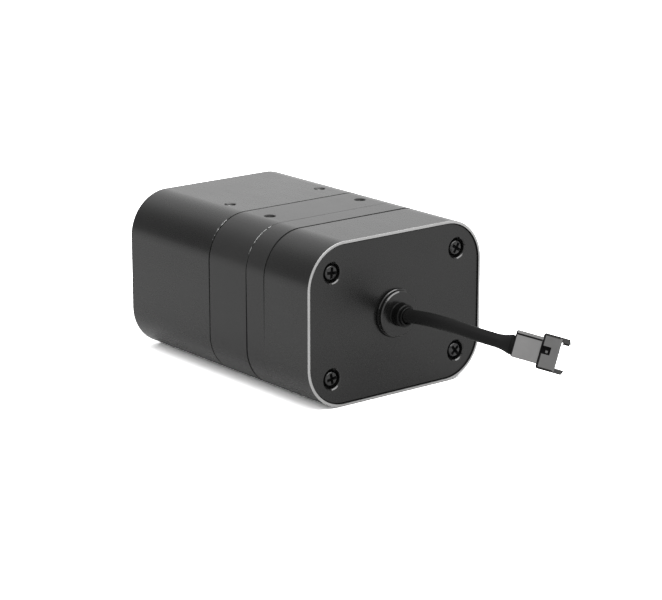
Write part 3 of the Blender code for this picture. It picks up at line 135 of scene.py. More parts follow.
# %% The cable's curve
CABLE_DIAMETER = 0.0037
CABLE_ROUTE = (
    (0.0000, -0.0010, 0.0000),
    (0.0000, -0.0042, 0.0002),
    (0.0000, -0.0087, 0.0007),
    (0.0003, -0.0131, 0.0010),
    (0.0012, -0.0175, 0.0008),
    (0.0028, -0.0216, 0.0002),
    (0.0051, -0.0255, -0.0009),
)
CABLE_TAIL = 0.0025
ROUTE_STEP = 0.0015
COLLAR_LENGTH = 0.0022
COLLAR_X = -0.00055
FIT = 0.0003


def smooth_route(points, step):
    """Points on a smooth curve through the given ones."""
    knots = [2 * points[0] - points[1], *points, 2 * points[-1] - points[-2]]
    route = []
    for before, start, stop, after in zip(knots, knots[1:], knots[2:], knots[3:]):
        count = max(1, round((stop - start).length / step))
        for index in range(count):
            part = index / count
            bend = (2 * before - 5 * start + 4 * stop - after) * part**2
            twist = (3 * start - before - 3 * stop + after) * part**3
            route.append(0.5 * (2 * start + (stop - before) * part + bend + twist))
    route.append(points[-1])
    return route


def make_cable(name, path):
    curve = bpy.data.curves.new(name, "CURVE")
    curve.dimensions = "3D"
    curve.bevel_depth = CABLE_DIAMETER / 2
    curve.bevel_resolution = 6
    curve.use_fill_caps = True
    spline = curve.splines.new("POLY")
    spline.points.add(len(path) - 1)
    for point, place in zip(spline.points, path):
        point.co = (*place, 1.0)
    return add_object(name, curve)


plate_middle = Vector((0.0, BACK, MID_Z))
cable_points = [plate_middle + Vector(point) for point in CABLE_ROUTE]
cable_end = -COLLAR_LENGTH - 2 * FIT
for distance in (cable_end - CABLE_TAIL, cable_end):
    cable_points.append(plug_space @ Vector((COLLAR_X, 0.0, distance)))
cable_path = smooth_route(cable_points, ROUTE_STEP)
cable = make_cable("cable_sheath", cable_path)
cable_length = sum((b - a).length for a, b in zip(cable_path, cable_path[1:]))
print("cable:", round(cable_length / MM, 1), "mm long,", len(cable_path), "points")

# %% [markdown]
# ## The housing's outline
# Every section of the housing has the same rounded rectangle as its outline. It could be a cube with
# bevelled edges, but points worked out from the corner's radius can be moved inwards by any step, and
# the corner then keeps its true radius there.

# %% The housing's outline
BODY_WIDTH = HIGH.x - LOW.x
BODY_HEIGHT = HIGH.z - LOW.z
CORNER_RADIUS = 0.0122
CORNER_STEPS = 22
QUARTERS = ((1, 1), (-1, 1), (-1, -1), (1, -1))


def outline(inset):
    """The housing's rounded rectangle, moved inwards, as points across and up."""
    radius = CORNER_RADIUS - inset
    half = (BODY_WIDTH / 2 - CORNER_RADIUS, BODY_HEIGHT / 2 - CORNER_RADIUS)
    points = []
    for quarter, (side, level) in enumerate(QUARTERS):
        for step in range(CORNER_STEPS + 1):
            angle = math.radians(90) * (quarter + step / CORNER_STEPS)
            across = side * half[0] + radius * math.cos(angle)
            points.append((across, level * half[1] + radius * math.sin(angle)))
    return points


def add_ring(builder, inset, along):
    """The outline's points at one place along the housing, both in millimetres."""
    return [builder.verts.new((across, along * MM, MID_Z + up)) for across, up in outline(inset * MM)]


def join_rings(builder, ring, other):
    for index in range(len(ring)):
        after = (index + 1) % len(ring)
        builder.faces.new((ring[index], ring[after], other[after], other[index]))


print("outline has", len(outline(0.0)), "points")

# %% [markdown]
# ## Sweeps and slabs
# The real sections are hollow and differ only in the steps of their walls. Such a shape could be an
# extruded outline with cuts, but sweeping the wall's own section round the outline gives clean rings of
# faces. The two plates at the ends are the same outline with a face on each side.

# %% Sweeps and slabs
def to_object(name, builder):
    bmesh.ops.recalc_face_normals(builder, faces=builder.faces)
    data = bpy.data.meshes.new(name)
    builder.to_mesh(data)
    builder.free()
    return add_object(name, data)


def swept(name, section):
    """A ring whose wall has the given section, a closed list of (inset, y) in millimetres."""
    builder = bmesh.new()
    rings = [add_ring(builder, inset, along) for inset, along in section]
    for ring, other in zip(rings, rings[1:] + rings[:1]):
        join_rings(builder, ring, other)
    return to_object(name, builder)


def ends(node):
    """Where a solid starts and stops along the housing, in millimetres."""
    low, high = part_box(node)
    return low.y / MM, high.y / MM


def slab(name, inset, node):
    """A plate of the housing's outline, moved inwards, as thick as a solid of the model."""
    builder = bmesh.new()
    rings = []
    for along in ends(node):
        rings.append(add_ring(builder, inset, along))
        builder.faces.new(rings[-1])
    join_rings(builder, *rings)
    return to_object(name, builder)


print("the rear plate lies between", [round(value, 2) for value in ends("rear_plate")], "mm")

# %% [markdown]
# ## Round and square pieces
# Screws, the gland and all the drills are round, so they are profiles turned about an axis, as on a
# lathe. The plug is a moulding of boxes. Blender has ready cylinders and cubes, but a profile holds a
# whole stepped shape in one list.

# %% Turned shapes, prisms and boxes
def turned(name, profile, place=(0, 0, 0), axis="Z", steps=48):
    """A closed or capped profile of (radius, height) in millimetres, turned about an axis."""
    builder = bmesh.new()
    rings = []
    for radius, height in profile:
        if radius == 0:
            rings.append([builder.verts.new((0.0, 0.0, height * MM))])
            continue
        ring = []
        for step in range(steps):
            angle = math.radians(360) * step / steps
            point = (radius * MM * math.cos(angle), radius * MM * math.sin(angle), height * MM)
            ring.append(builder.verts.new(point))
        rings.append(ring)
    closed = len(rings[0]) > 1 and len(rings[-1]) > 1
    pairs = zip(rings, rings[1:] + rings[:1]) if closed else zip(rings, rings[1:])
    for ring, other in pairs:
        for step in range(steps):
            after = (step + 1) % steps
            corners = [ring[step % len(ring)], ring[after % len(ring)]]
            corners += [other[after % len(other)], other[step % len(other)]]
            builder.faces.new(list(dict.fromkeys(corners)))
    made = to_object(name, builder)
    made.location = place
    made.rotation_euler = {"Y": (math.radians(90), 0, 0), "Z": (0, 0, 0)}[axis]
    return made


def prism(name, loop, low, high, taper=1.0):
    """A flat outline of (x, y) in millimetres between two heights, smaller at the lower one by taper."""
    builder = bmesh.new()
    bottom = [builder.verts.new((x * MM * taper, y * MM * taper, low * MM)) for x, y in loop]
    top = [builder.verts.new((x * MM, y * MM, high * MM)) for x, y in loop]
    builder.faces.new(bottom)
    builder.faces.new(top)
    join_rings(builder, bottom, top)
    return to_object(name, builder)


def box(name, low, high):
    """A box between two corners in millimetres."""
    (x0, y0, z0), (x1, y1, z1) = low, high
    return prism(name, [(x0, y0), (x1, y0), (x1, y1), (x0, y1)], z0, z1)


print("shape tools ready")

# %% [markdown]
# ## Cuts and edges
# Holes are cut with Boolean modifiers, and every hard edge gets a real, very small bevel, because metal
# edges catch light. Modifiers could stay live, but each tool applies its own, so that the next one
# starts from a plain mesh. Weighted normals then keep the flat faces flat.

# %% Cut, round the edges and settle a mesh
def settle(made):
    """Bakes the modifiers into the mesh."""
    bpy.context.view_layer.update()
    shown = made.evaluated_get(bpy.context.evaluated_depsgraph_get())
    data = bpy.data.meshes.new_from_object(shown)
    made.modifiers.clear()
    made.data = data
    data.name = made.name
    return made


def carve(made, tools, operation="DIFFERENCE"):
    """Cuts tools from a shape, or joins them to it, and removes the tools."""
    for tool in tools:
        step = made.modifiers.new(tool.name, "BOOLEAN")
        step.operation = operation
        step.solver = "EXACT"
        step.object = tool
    settle(made)
    for tool in tools:
        bpy.data.objects.remove(tool, do_unlink=True)
    return made


def soften(made, width, segments=2, angle=35.0):
    """A small bevel on the hard edges, in millimetres."""
    step = made.modifiers.new("soft_edges", "BEVEL")
    step.width = width * MM
    step.segments = segments
    step.limit_method = "ANGLE"
    step.angle_limit = math.radians(angle)
    step.use_clamp_overlap = True
    return settle(made)


def shade(made, sharp):
    """Smooth shading in which the large faces keep their own direction and sharp edges stay sharp."""
    made.data.shade_smooth()
    made.data.set_sharp_from_angle(angle=math.radians(sharp))
    step = made.modifiers.new("even_normals", "WEIGHTED_NORMAL")
    step.keep_sharp = True
    return settle(made)


print("edge tools ready")

# %% [markdown]
# ## Middle section and spacer
# On the real module the sections plug into each other: each has a thinner wall at its front end that
# slides into the next one, so a seam is a narrow slot with the inner wall behind it. A seam could be a
# painted line, but only a real gap catches light on its edges. In the photograph the slots change width
# round the housing, because the spacer doesn't sit quite square, so it leans by under a third of a
# millimetre.

# %% Middle section and spacer
WALL, SPIGOT, LIP = 2.8, 1.5, 1.2
SPIGOT_LENGTH = 2.7
SOCKET_DEPTH = 3.8
EDGE, SPACER_EDGE = 0.13, 0.05
SPACER_TILT, SPACER_LEVEL, SPACER_SWING = 0.6, 0.02, 0.36
SPACER_ROOM = 0.29


def lean(made, low, high, shift):
    """Moves the points between two places along the housing, by how far across and how high up they are."""
    for vertex in made.data.vertices:
        if low < vertex.co.y / MM < high:
            vertex.co.y += shift(vertex.co.x / BODY_WIDTH, (vertex.co.z - MID_Z) / BODY_HEIGHT) * MM


def plain_section(name, node, edge):
    """A section with a socket at the back and a spigot at the front."""
    start, stop = ends(node)
    shoulder = stop - SPIGOT_LENGTH
    section = [
        (0.0, start),
        (0.0, shoulder),
        (SPIGOT, shoulder),
        (SPIGOT, stop),
        (WALL, stop),
        (WALL, start + SOCKET_DEPTH),
        (LIP, start + SOCKET_DEPTH),
        (LIP, start),
    ]
    return soften(swept(name, section), edge)


def spacer_shift(across, up):
    askew = SPACER_TILT * (up - SPACER_LEVEL) + SPACER_SWING * across
    return max(-SPACER_ROOM, min(askew, SPACER_ROOM))


middle_shell = plain_section("middle_housing", "middle_shell", EDGE)
spacer_ring = plain_section("spacer_band", "spacer_ring", SPACER_EDGE)
lean(spacer_ring, ends("spacer_ring")[0] - 1.0, ends("spacer_ring")[1] + 1.0, spacer_shift)
print("middle section and spacer:", len(middle_shell.data.polygons), len(spacer_ring.data.polygons), "faces")

# %% [markdown]
# ## Rear section
# The rear section ends in a narrow rim that stands a little proud of the plate. On the real one the rim
# is cut bright after the dark finish, so its outer edge is nearly sharp. It could be a ring of its own,
# but it is one piece of metal with the wall, so it is part of the same sweep.

# %% Rear section with its cut rim
RIM, RIM_INNER = 0.13, 0.80
RIM_EDGE = 0.07
PLATE_LEDGE = 4.3
SEAM_ZONE = 0.5
REAR_LEFT, REAR_TOP = 0.14, 0.55


def rear_section(name):
    start, stop = ends("rear_shell")
    shoulder = stop - SPIGOT_LENGTH
    ledge = start + PLATE_LEDGE
    section = [
        (0.0, start + RIM),
        (0.0, shoulder),
        (SPIGOT, shoulder),
        (SPIGOT, stop),
        (WALL, stop),
        (WALL, ledge),
        (RIM_INNER, ledge),
        (RIM_INNER, start),
        (RIM, start),
    ]
    made = soften(swept(name, section), RIM_EDGE, angle=30.0)
    lean(made, shoulder - SEAM_ZONE, shoulder + SEAM_ZONE, rear_shift)
    return made


def rear_shift(across, up):
    """The seam in front of the rear section is widest at the top and closes at the left."""
    return REAR_LEFT * max(0.0, -across) - REAR_TOP * max(0.0, up)


rear_shell = rear_section("rear_housing")
print("rear section:", len(rear_shell.data.polygons), "faces")

# %% [markdown]
# ## Front section
# The front section is the longest. It has a deep socket for the middle one and, at the other end, a
# rebate in which the window lies on a ledge. A cut-out would do as well, but the steps are already in
# the wall's section, so the sweep makes them at no cost.

# %% Front section with the window's rebate
FRONT_CHAMFER = 0.5
FRONT_SOCKET = 6.1
WINDOW_MARGIN, WINDOW_LEDGE = 5.0, 7.5
REBATE_DEPTH, LEDGE_THICKNESS = 3.5, 1.0
FRONT_OPEN, FRONT_TILT = 0.05, 0.2


def front_section(name):
    start, stop = ends("front_shell")
    rebate = stop - REBATE_DEPTH
    section = [
        (0.0, start),
        (0.0, stop - FRONT_CHAMFER),
        (FRONT_CHAMFER, stop),
        (WINDOW_MARGIN, stop),
        (WINDOW_MARGIN, rebate),
        (WINDOW_LEDGE, rebate),
        (WINDOW_LEDGE, rebate - LEDGE_THICKNESS),
        (WALL, rebate - LEDGE_THICKNESS),
        (WALL, start + FRONT_SOCKET),
        (LIP, start + FRONT_SOCKET),
        (LIP, start),
    ]
    made = soften(swept(name, section), EDGE)
    lean(made, start - SEAM_ZONE, start + SEAM_ZONE, front_shift)
    return made


def front_shift(across, up):
    """The front seam is a little wider at the top."""
    return max(0.0, FRONT_OPEN + FRONT_TILT * up)


front_shell = front_section("front_housing")
print("front section:", len(front_shell.data.polygons), "faces")

# %% [markdown]
# ## Corner posts
# Four long screws hold the stack together. They start in posts in the rear section and end in threaded
# posts in the front one. On the real module the posts merge with the wall. A post could be joined to the
# wall and then drilled, but cutting twice in the same place leaves slivers, so a tube is joined instead.

# %% Corner posts
SCREW_X, SCREW_Z = 21.6, 14.4
CORNERS = ((-1, 1), (1, 1), (1, -1), (-1, -1))
POST = [(1.55, 0.0), (4.2, 0.0), (4.2, -5.0), (1.55, -5.0)]
FRONT_POSTS, REAR_POSTS = 7.0, 5.2


def screw_place(side, level, along):
    return (side * SCREW_X * MM, along * MM, MID_Z + level * SCREW_Z * MM)


def add_posts(made, start):
    tools = []
    for index, (side, level) in enumerate(CORNERS):
        tools.append(turned(f"post_{index}", POST, screw_place(side, level, start), "Y", 32))
    carve(made, tools, "UNION")


add_posts(front_shell, ends("front_shell")[0] + FRONT_POSTS)
add_posts(rear_shell, ends("rear_shell")[0] + REAR_POSTS)
print("posts joined to", front_shell.name, "and", rear_shell.name)

# %% [markdown]
# ## Tapped holes in the top
# Two holes on each side of the front seam take machine screws. A hole could be a dark disc, but in a
# close view the thread shows, so a turned cutter with a toothed side is subtracted from the top wall.
# The wall is thin there, so a boss under it gives the thread its depth.

# %% Tapped holes
HOLE_SPREAD = 15.75
HOLE_ROWS = {"front": 12.075, "middle": -5.925}
HOLE_LEAD = 0.5
SINK_RADIUS = 2.75
THREAD_OUTER, THREAD_INNER, CORE_RADIUS = 1.5, 1.28, 1.25
PITCH, THREAD_DEPTH = 0.5, 2.5
CORE_DEPTH, POINT_DEPTH = 3.6, 4.2
PAD_RADIUS, PAD_TOP, PAD_BOTTOM = 3.0, 1.4, 6.3
TOP = BODY_HEIGHT / MM


def tapped_cutter(name, place):
    """A drill with a small countersink, a plain lead-in and a toothed side below it."""
    profile = [(0.0, TOP + 1.0), (SINK_RADIUS, TOP + 1.0), (THREAD_OUTER, TOP - PITCH / 2)]
    profile.append((THREAD_OUTER, TOP - HOLE_LEAD))
    depth = HOLE_LEAD
    while depth < THREAD_DEPTH:
        profile += [(THREAD_INNER, TOP - depth - PITCH / 2), (THREAD_OUTER, TOP - depth - PITCH)]
        depth += PITCH
    profile += [(CORE_RADIUS, TOP - depth - PITCH / 2), (CORE_RADIUS, TOP - CORE_DEPTH)]
    profile.append((0.0, TOP - POINT_DEPTH))
    return turned(name, profile, place, steps=40)


def pad(name, place):
    """The thread's boss under the top wall."""
    high, low = TOP - PAD_TOP, TOP - PAD_BOTTOM
    return turned(name, [(0.0, high), (PAD_RADIUS, high), (PAD_RADIUS, low), (0.0, low)], place, steps=40)


def tap_holes(made, along):
    places = [(side * MM, along * MM, 0.0) for side in (-HOLE_SPREAD, HOLE_SPREAD)]
    carve(made, [pad(f"pad_{index}", place) for index, place in enumerate(places)], "UNION")
    carve(made, [tapped_cutter(f"drill_{index}", place) for index, place in enumerate(places)])


for made, row in ((front_shell, "front"), (middle_shell, "middle")):
    tap_holes(made, HOLE_ROWS[row])
print("tapped holes at", HOLE_SPREAD, "mm each side of the middle")

# %% [markdown]
# ## Rear plate
# The plate lies a little below the rim, with a fine dark gap round it. It is a flat slab of the
# housing's own outline, and the counterbores for the screws and the gland's hole are cut out of it. The
# cutter of a counterbore has a slanted top, which leaves the narrow bright chamfer of the real ones.

# %% Rear plate
PLATE_GAP = 0.2
PLATE_EDGE = 0.06
SCREW_SEAT = [
    (0.0, 1.0),
    (4.05, 1.0),
    (2.75, -0.3),
    (2.75, -2.0),
    (1.55, -2.0),
    (1.55, -4.0),
    (0.0, -4.0),
]
GLAND_DRILL = [(0.0, 1.0), (3.3, 1.0), (3.3, -4.0), (0.0, -4.0)]
PLATE_BACK = ends("rear_plate")[0]


def make_plate(name):
    plate = soften(slab(name, RIM_INNER + PLATE_GAP, "rear_plate"), PLATE_EDGE)
    drills = []
    for index, (side, level) in enumerate(CORNERS):
        drills.append(turned(f"seat_{index}", SCREW_SEAT, screw_place(side, level, PLATE_BACK), "Y"))
    drills.append(turned("gland_drill", GLAND_DRILL, (0.0, PLATE_BACK * MM, MID_Z), "Y"))
    return carve(plate, drills)


rear_plate = make_plate("rear_cover")
print("rear plate:", len(rear_plate.data.polygons), "faces")

# %% [markdown]
# ## Screws
# Each screw sits in its own counterbore. Its head is domed, with a cross recess that narrows towards
# the bottom, as the driver's tip does. A recess that is only dark paint looks flat from the side, so a
# tapered cross is cut out of the head. The four crosses stand at different angles, as tightened screws
# do.

# %% Screws
CROSS_TURNS = (-6.0, -33.0, 41.0, 10.0)
CROSS_LENGTH, CROSS_WIDTH, CROSS_TAPER = 3.2, 0.9, 0.6
DOME_RADIUS, DOME_MIDDLE, DOME_DROP = 0.8, 1.3, 0.82
HEAD_RADIUS, HEAD_HEIGHT, SHANK_RADIUS, SHANK_POINT = 2.35, 1.5, 1.25, 0.3


def cross_loop(length, width, angle):
    points = []
    for quarter in range(4):
        turn = math.radians(90 * quarter + angle)
        for x, y in ((length / 2, -width / 2), (length / 2, width / 2), (width / 2, width / 2)):
            across = x * math.cos(turn) - y * math.sin(turn)
            points.append((across, x * math.sin(turn) + y * math.cos(turn)))
    return points


def make_screw(index, side, level, angle):
    """A pan head with a domed top, a cross recess and its shank."""
    start, stop = ends(f"stack_screw_{index}")
    profile = [(0.0, 0.0), (0.7, -0.01)]
    for degrees in range(90, -1, -15):
        slope = math.radians(degrees)
        radius = DOME_MIDDLE + DOME_RADIUS * math.cos(slope)
        profile.append((radius, -DOME_DROP + DOME_RADIUS * math.sin(slope)))
    tip = start - stop
    profile += [(2.32, -1.1), (HEAD_RADIUS, -HEAD_HEIGHT), (SHANK_RADIUS, -HEAD_HEIGHT)]
    profile += [(SHANK_RADIUS, tip + SHANK_POINT), (0.0, tip)]
    place = screw_place(side, level, start)
    screw = turned(f"cover_screw_{index}", profile, place, "Y")
    loop = cross_loop(CROSS_LENGTH, CROSS_WIDTH, angle)
    recess = prism(f"recess_{index}", loop, -1.0, 0.1, CROSS_TAPER)
    recess.location = place
    recess.rotation_euler = screw.rotation_euler
    return carve(screw, [recess])


screws = []
for index, ((side, level), angle) in enumerate(zip(CORNERS, CROSS_TURNS), 1):
    screws.append(make_screw(index, side, level, angle))
print("screws:", [screw.name for screw in screws])

# %% [markdown]
# ## Cable gland
# The gland holds the cable in the plate: a collar in two steps, a round flange with a chamfer, a thin
# washer under it, and a stem that goes through to a nut inside. It is made on a lathe, and here too one
# profile gives all of it.

# %% Cable gland
GLAND_COLLAR = [(1.95, 3.2), (1.95, 5.1), (2.1, 5.25), (2.4, 5.25), (2.55, 5.1), (2.55, 4.5)]
GLAND_SHOULDER = [(2.85, 4.45), (3.1, 4.2), (3.15, 2.0), (3.3, 1.82)]
GLAND_FLANGE = [(6.0, 1.8), (6.3, 1.5), (6.3, 0.7)]
GLAND_FOOT = [(6.45, 0.68), (6.65, 0.5), (6.65, 0.05), (6.3, 0.05)]
GLAND_STEM = [(6.3, 0.3), (3.0, 0.3), (3.0, -5.9), (2.4, -5.9), (2.4, 3.0)]
gland_profile = GLAND_COLLAR + GLAND_SHOULDER + GLAND_FLANGE + GLAND_FOOT + GLAND_STEM
gland = turned("cable_grommet", gland_profile, (0.0, PLATE_BACK * MM, MID_Z), "Y", 72)
print("gland:", len(gland.data.polygons), "faces")

# %% [markdown]
# ## The plug
# The cable ends in a small two-pole plug: a plain body with a rail along one side, a larger head with a
# latch window, and two guide prongs. It is one moulding, so boxes are joined first and all the edges
# are rounded together, which is how a mould's radii run from one feature into the next.

# %% Plug
PLUG_HALF, HEAD_HALF, MOUTH_HALF = 3.6, 4.75, 3.45
RAIL_SIDE = 2.85
PRONG_ROOT, PRONG_TIP, PRONG_SLANT = 10.7, 14.4, 0.5
POLE_SPREAD, CAVITY_HALF = 1.25, 0.75
MOULD_EDGE = 0.1


def make_prong(side):
    """A guide prong with a slanted tip, drawn from the side and turned upright."""
    inner, outer = MOUTH_HALF * side, HEAD_HALF * side
    loop = [(inner, PRONG_ROOT), (outer, PRONG_ROOT), (outer, PRONG_TIP - PRONG_SLANT), (inner, PRONG_TIP)]
    prong = prism(f"prong_{side}", loop, -1.7, 1.7)
    prong.rotation_euler = (math.radians(90), 0.0, 0.0)
    return prong


def make_plug(name):
    plug = soften(box(name, (-PLUG_HALF, -2.6, 0.0), (PLUG_HALF, 2.6, 8.3)), 0.35, segments=3)
    head = soften(box("plug_head", (-HEAD_HALF, -3.1, 7.0), (HEAD_HALF, 3.1, 12.0)), 0.6, segments=4)
    rail = box("plug_rail", (RAIL_SIDE, 2.3, 0.3), (PLUG_HALF, 2.9, 7.6))
    lug = box("prong_lug", (2.95, -1.5, 12.3), (PLUG_HALF, 1.3, 14.1))
    prongs = [make_prong(side) for side in (-1, 1)]
    carve(plug, [head, rail, *prongs, lug], "UNION")
    tools = [
        box("groove", (2.4, 2.1, -0.3), (RAIL_SIDE, 3.0, 6.95)),
        box("mouth", (-MOUTH_HALF, -1.8, 9.0), (MOUTH_HALF, 1.8, 12.2)),
        box("latch_window", (-0.65, 2.0, 7.25), (1.45, 3.5, 9.7)),
    ]
    for side in (-1, 1):
        pole = POLE_SPREAD * side
        low, high = (pole - CAVITY_HALF, -CAVITY_HALF, 2.7), (pole + CAVITY_HALF, CAVITY_HALF, 9.2)
        tools.append(box(f"cavity_{side}", low, high))
    carve(plug, tools)
    carve(plug, [box("latch_hook", (-0.25, 1.9, 8.45), (0.4, 2.8, 9.1))], "UNION")
    soften(plug, MOULD_EDGE)
    plug.matrix_world = plug_space
    return plug


plug = make_plug("plug_body")
print("plug:", len(plug.data.polygons), "faces")

# %% [markdown]
# ## The flare
# Where the cable enters the plug, a short sleeve widens smoothly to the plug's width and keeps the
# cable from kinking. A cone would look cut off at its thin end, so a quarter of a sine wave shapes it.

# %% Flare where the cable meets the plug
FLARE_RADIUS, FLARE_FALL = 2.65, 0.76
FLARE_START, FLARE_LENGTH, FLARE_STEPS = 0.6, 3.6, 10


def make_flare(name):
    profile = [(0.0, 0.03), (2.6, 0.03), (FLARE_RADIUS, -0.3)]
    for step in range(FLARE_STEPS + 1):
        part = step / FLARE_STEPS
        radius = FLARE_RADIUS - FLARE_FALL * math.sin(part * math.radians(90))
        profile.append((radius, -FLARE_START - FLARE_LENGTH * part))
    profile.append((0.0, -FLARE_START - FLARE_LENGTH))
    made = turned(name, profile)
    made.matrix_world = plug_space @ Matrix.Translation((COLLAR_X, 0.0, 0.0))
    return made


flare = make_flare("cable_flare")
print("flare:", len(flare.data.polygons), "faces")

# %% [markdown]
# ## The front window
# The scanner looks out through a smoked plate that lets its own infrared light pass and hides most of
# the optics behind. It is a slab of the housing's outline, as the rear plate is. Its edge is polished
# round, which a wider bevel gives.

# %% Front window
WINDOW_INSET = 5.3
WINDOW_EDGE = 0.3
window = soften(slab("smoked_window", WINDOW_INSET, "front_window"), WINDOW_EDGE, segments=4)
print("window:", len(window.data.polygons), "faces")

# %% [markdown]
# ## Sums of sockets
# A finish varies over its surface, and that variation is arithmetic on noise. Written as nodes it is
# long to read, so one small class wraps a socket and lets Python's own signs add the Math nodes.

# %% A socket that can be used in sums
class Wire:
    """A socket in a material's node tree, or the tree alone when there is no socket yet."""

    def __init__(self, tree, socket=None):
        self.tree = tree
        self.socket = socket

    def node(self, kind, settings=None, inputs=None, output=0):
        """Any node: its settings are set first, then its sockets are linked or given values."""
        made = self.tree.nodes.new(kind)
        for key, value in (settings or {}).items():
            setattr(made, key, value)
        for key, value in (inputs or {}).items():
            if isinstance(value, Wire):
                self.tree.links.new(value.socket, made.inputs[key])
            else:
                made.inputs[key].default_value = value
        return Wire(self.tree, made.outputs[output])

    def sum_node(self, operation, first, second):
        return self.node("ShaderNodeMath", {"operation": operation}, {0: first, 1: second})

    def __add__(self, other):
        return self.sum_node("ADD", self, other)

    def __radd__(self, other):
        return self.sum_node("ADD", other, self)

    def __sub__(self, other):
        return self.sum_node("SUBTRACT", self, other)

    def __rsub__(self, other):
        return self.sum_node("SUBTRACT", other, self)

    def __mul__(self, other):
        return self.sum_node("MULTIPLY", self, other)

    def __rmul__(self, other):
        return self.sum_node("MULTIPLY", other, self)

    def __gt__(self, other):
        return self.sum_node("GREATER_THAN", self, other)

    def __lt__(self, other):
        return self.sum_node("LESS_THAN", self, other)


print("socket sums ready")

# %% [markdown]
# ## Parts of a finish
# Every finish starts with noise, a mix of two close colours and a bump. Each material could carry its
# own chain of nodes, but short functions keep the finishes alike where the real materials are alike,
# and a finish then reads as a list of what the shader is given.

# %% Parts that every finish uses
def new_finish(name):
    """A material and the wire that its nodes start from."""
    material = bpy.data.materials.new(name)
    material.use_nodes = True
    return material, Wire(material.node_tree)


def grain(wire, scale, detail, stretch=(1.0, 1.0, 1.0)):
    """Noise in the object's own space. The scale is in features per metre."""
    place = wire.node("ShaderNodeTexCoord", output="Object")
    spread = wire.node("ShaderNodeVectorMath", {"operation": "MULTIPLY"}, {0: place, 1: stretch})
    inputs = {"Vector": spread, "Scale": scale, "Detail": detail, "Roughness": 0.55}
    return wire.node("ShaderNodeTexNoise", inputs=inputs, output="Fac")


def blend(wire, factor, first, second):
    """A mix of two colours."""
    settings = {"data_type": "RGBA", "clamp_factor": True}
    return wire.node("ShaderNodeMix", settings, {0: factor, 6: first, 7: second}, output=2)


def bump(wire, height, depth, strength):
    """A normal that follows a height, with the depth in metres."""
    inputs = {"Height": height, "Distance": depth, "Strength": strength}
    return wire.node("ShaderNodeBump", inputs=inputs)


def set_sockets(material, values):
    """Gives the Principled shader its values and links."""
    shader = material.node_tree.nodes["Principled BSDF"]
    for key, value in values.items():
        if isinstance(value, Wire):
            material.node_tree.links.new(value.socket, shader.inputs[key])
        else:
            shader.inputs[key].default_value = value
    return material


def grey(level, warmth=0.0):
    """A near-neutral colour."""
    return (level * (1 + warmth), level, level * (1 - warmth), 1.0)


print("finish tools ready")

# %% [markdown]
# ## Anodised metal
# The sections are blasted and anodised: a dark grey metal with a fine, even tooth, slightly smoother in
# streaks where hands have rubbed it along its length. One flat grey would look like plastic, so colour,
# gloss and tooth all follow noise. The sections differ a little in the photograph, the middle one being
# the least metallic, so each gets its own measure of the same finish.

# %% Anodised housing, plate and flange
def anodised(name, level, roughness, metallic=0.8, gloss=0.5):
    material, wire = new_finish(name)
    tooth = grain(wire, 5200.0, 2.0)
    cloud = grain(wire, 60.0, 4.0)
    rub = grain(wire, 900.0, 3.0, (1.0, 0.12, 1.0))
    colour = blend(wire, cloud * 0.7 + tooth * 0.3, grey(level * 0.88), grey(level * 1.12, 0.006))
    rough = roughness - 0.05 + cloud * 0.06 + rub * 0.05
    return set_sockets(
        material,
        {
            "Base Color": colour,
            "Metallic": metallic,
            "Roughness": rough,
            "Specular IOR Level": gloss,
            "Normal": bump(wire, tooth, 0.000004, 0.15),
        },
    )


housing_finish = anodised("anodised_housing", 0.034, 0.27)
middle_finish = anodised("anodised_middle", 0.0345, 0.235, 0.3, 0.134)
rear_finish = anodised("anodised_rear", 0.034, 0.27, 0.6, 0.22)
plate_finish = anodised("anodised_plate", 0.028, 0.27)
chamfer_finish = anodised("turned_chamfer", 0.034, 0.15)
flange_finish = anodised("gland_flange", 0.028, 0.24)
print("anodised finishes made")

# %% [markdown]
# ## Bare metal
# The rear rim is cut after anodising, so it is bare and bright, with fine lines from the cutter. A duller
# bare metal is a painted highlight on one side of the front holes' threads. The corners of two seams get
# a painted glint in short streaks: a noise compared with a threshold gives such streaks their hard ends.

# %% Cut rim, painted thread highlight and painted seam glint
def cut_metal(name, dull, bright):
    material, wire = new_finish(name)
    lines = grain(wire, 2600.0, 2.0, (1.0, 6.0, 1.0))
    patch = grain(wire, 140.0, 3.0)
    return set_sockets(
        material,
        {
            "Base Color": blend(wire, patch, grey(dull, 0.004), grey(bright, 0.004)),
            "Metallic": 1.0,
            "Roughness": 0.34 + lines * 0.12,
            "Normal": bump(wire, lines, 0.000004, 0.4),
        },
    )


def painted_glint_edge(name):
    """Dark anodising with a painted glint of bright metal in streaks."""
    material, wire = new_finish(name)
    # Noise above a threshold breaks the painted glint into streaks.
    glinting = grain(wire, 900.0, 3.0) > 0.47
    return set_sockets(
        material,
        {
            "Base Color": blend(wire, glinting, grey(0.05), grey(0.30)),
            "Metallic": 0.9,
            "Roughness": 0.30 - glinting * 0.05,
        },
    )


rim_finish = cut_metal("bare_cut_rim", 0.31, 0.39)
# A duller bare metal, used as a painted highlight on one side of the front holes' threads.
thread_highlight_finish = cut_metal("painted_thread_highlight", 0.12, 0.16)
# A painted glint for the rear edges of two seams, round their upper corners.
glint_finish = painted_glint_edge("painted_edge_glint")
print("bare metal finishes made")

# %% [markdown]
# ## Black pieces
# The screws are blackened steel, which stays glossy and mottled. The gland, the cable and the seals are
# black plastic or rubber, which differ by how dull they are and how coarse their skin is, so one
# function makes all three. The grain on the cable is drawn out along its length.

# %% Screws, gland, cable and rubber
def black_steel(name):
    material, wire = new_finish(name)
    patch = grain(wire, 700.0, 4.0)
    return set_sockets(
        material,
        {
            "Base Color": blend(wire, patch, grey(0.025), grey(0.055)),
            "Metallic": 0.9,
            "Roughness": 0.18 + patch * 0.14,
            "Normal": bump(wire, patch, 0.00001, 0.3),
        },
    )


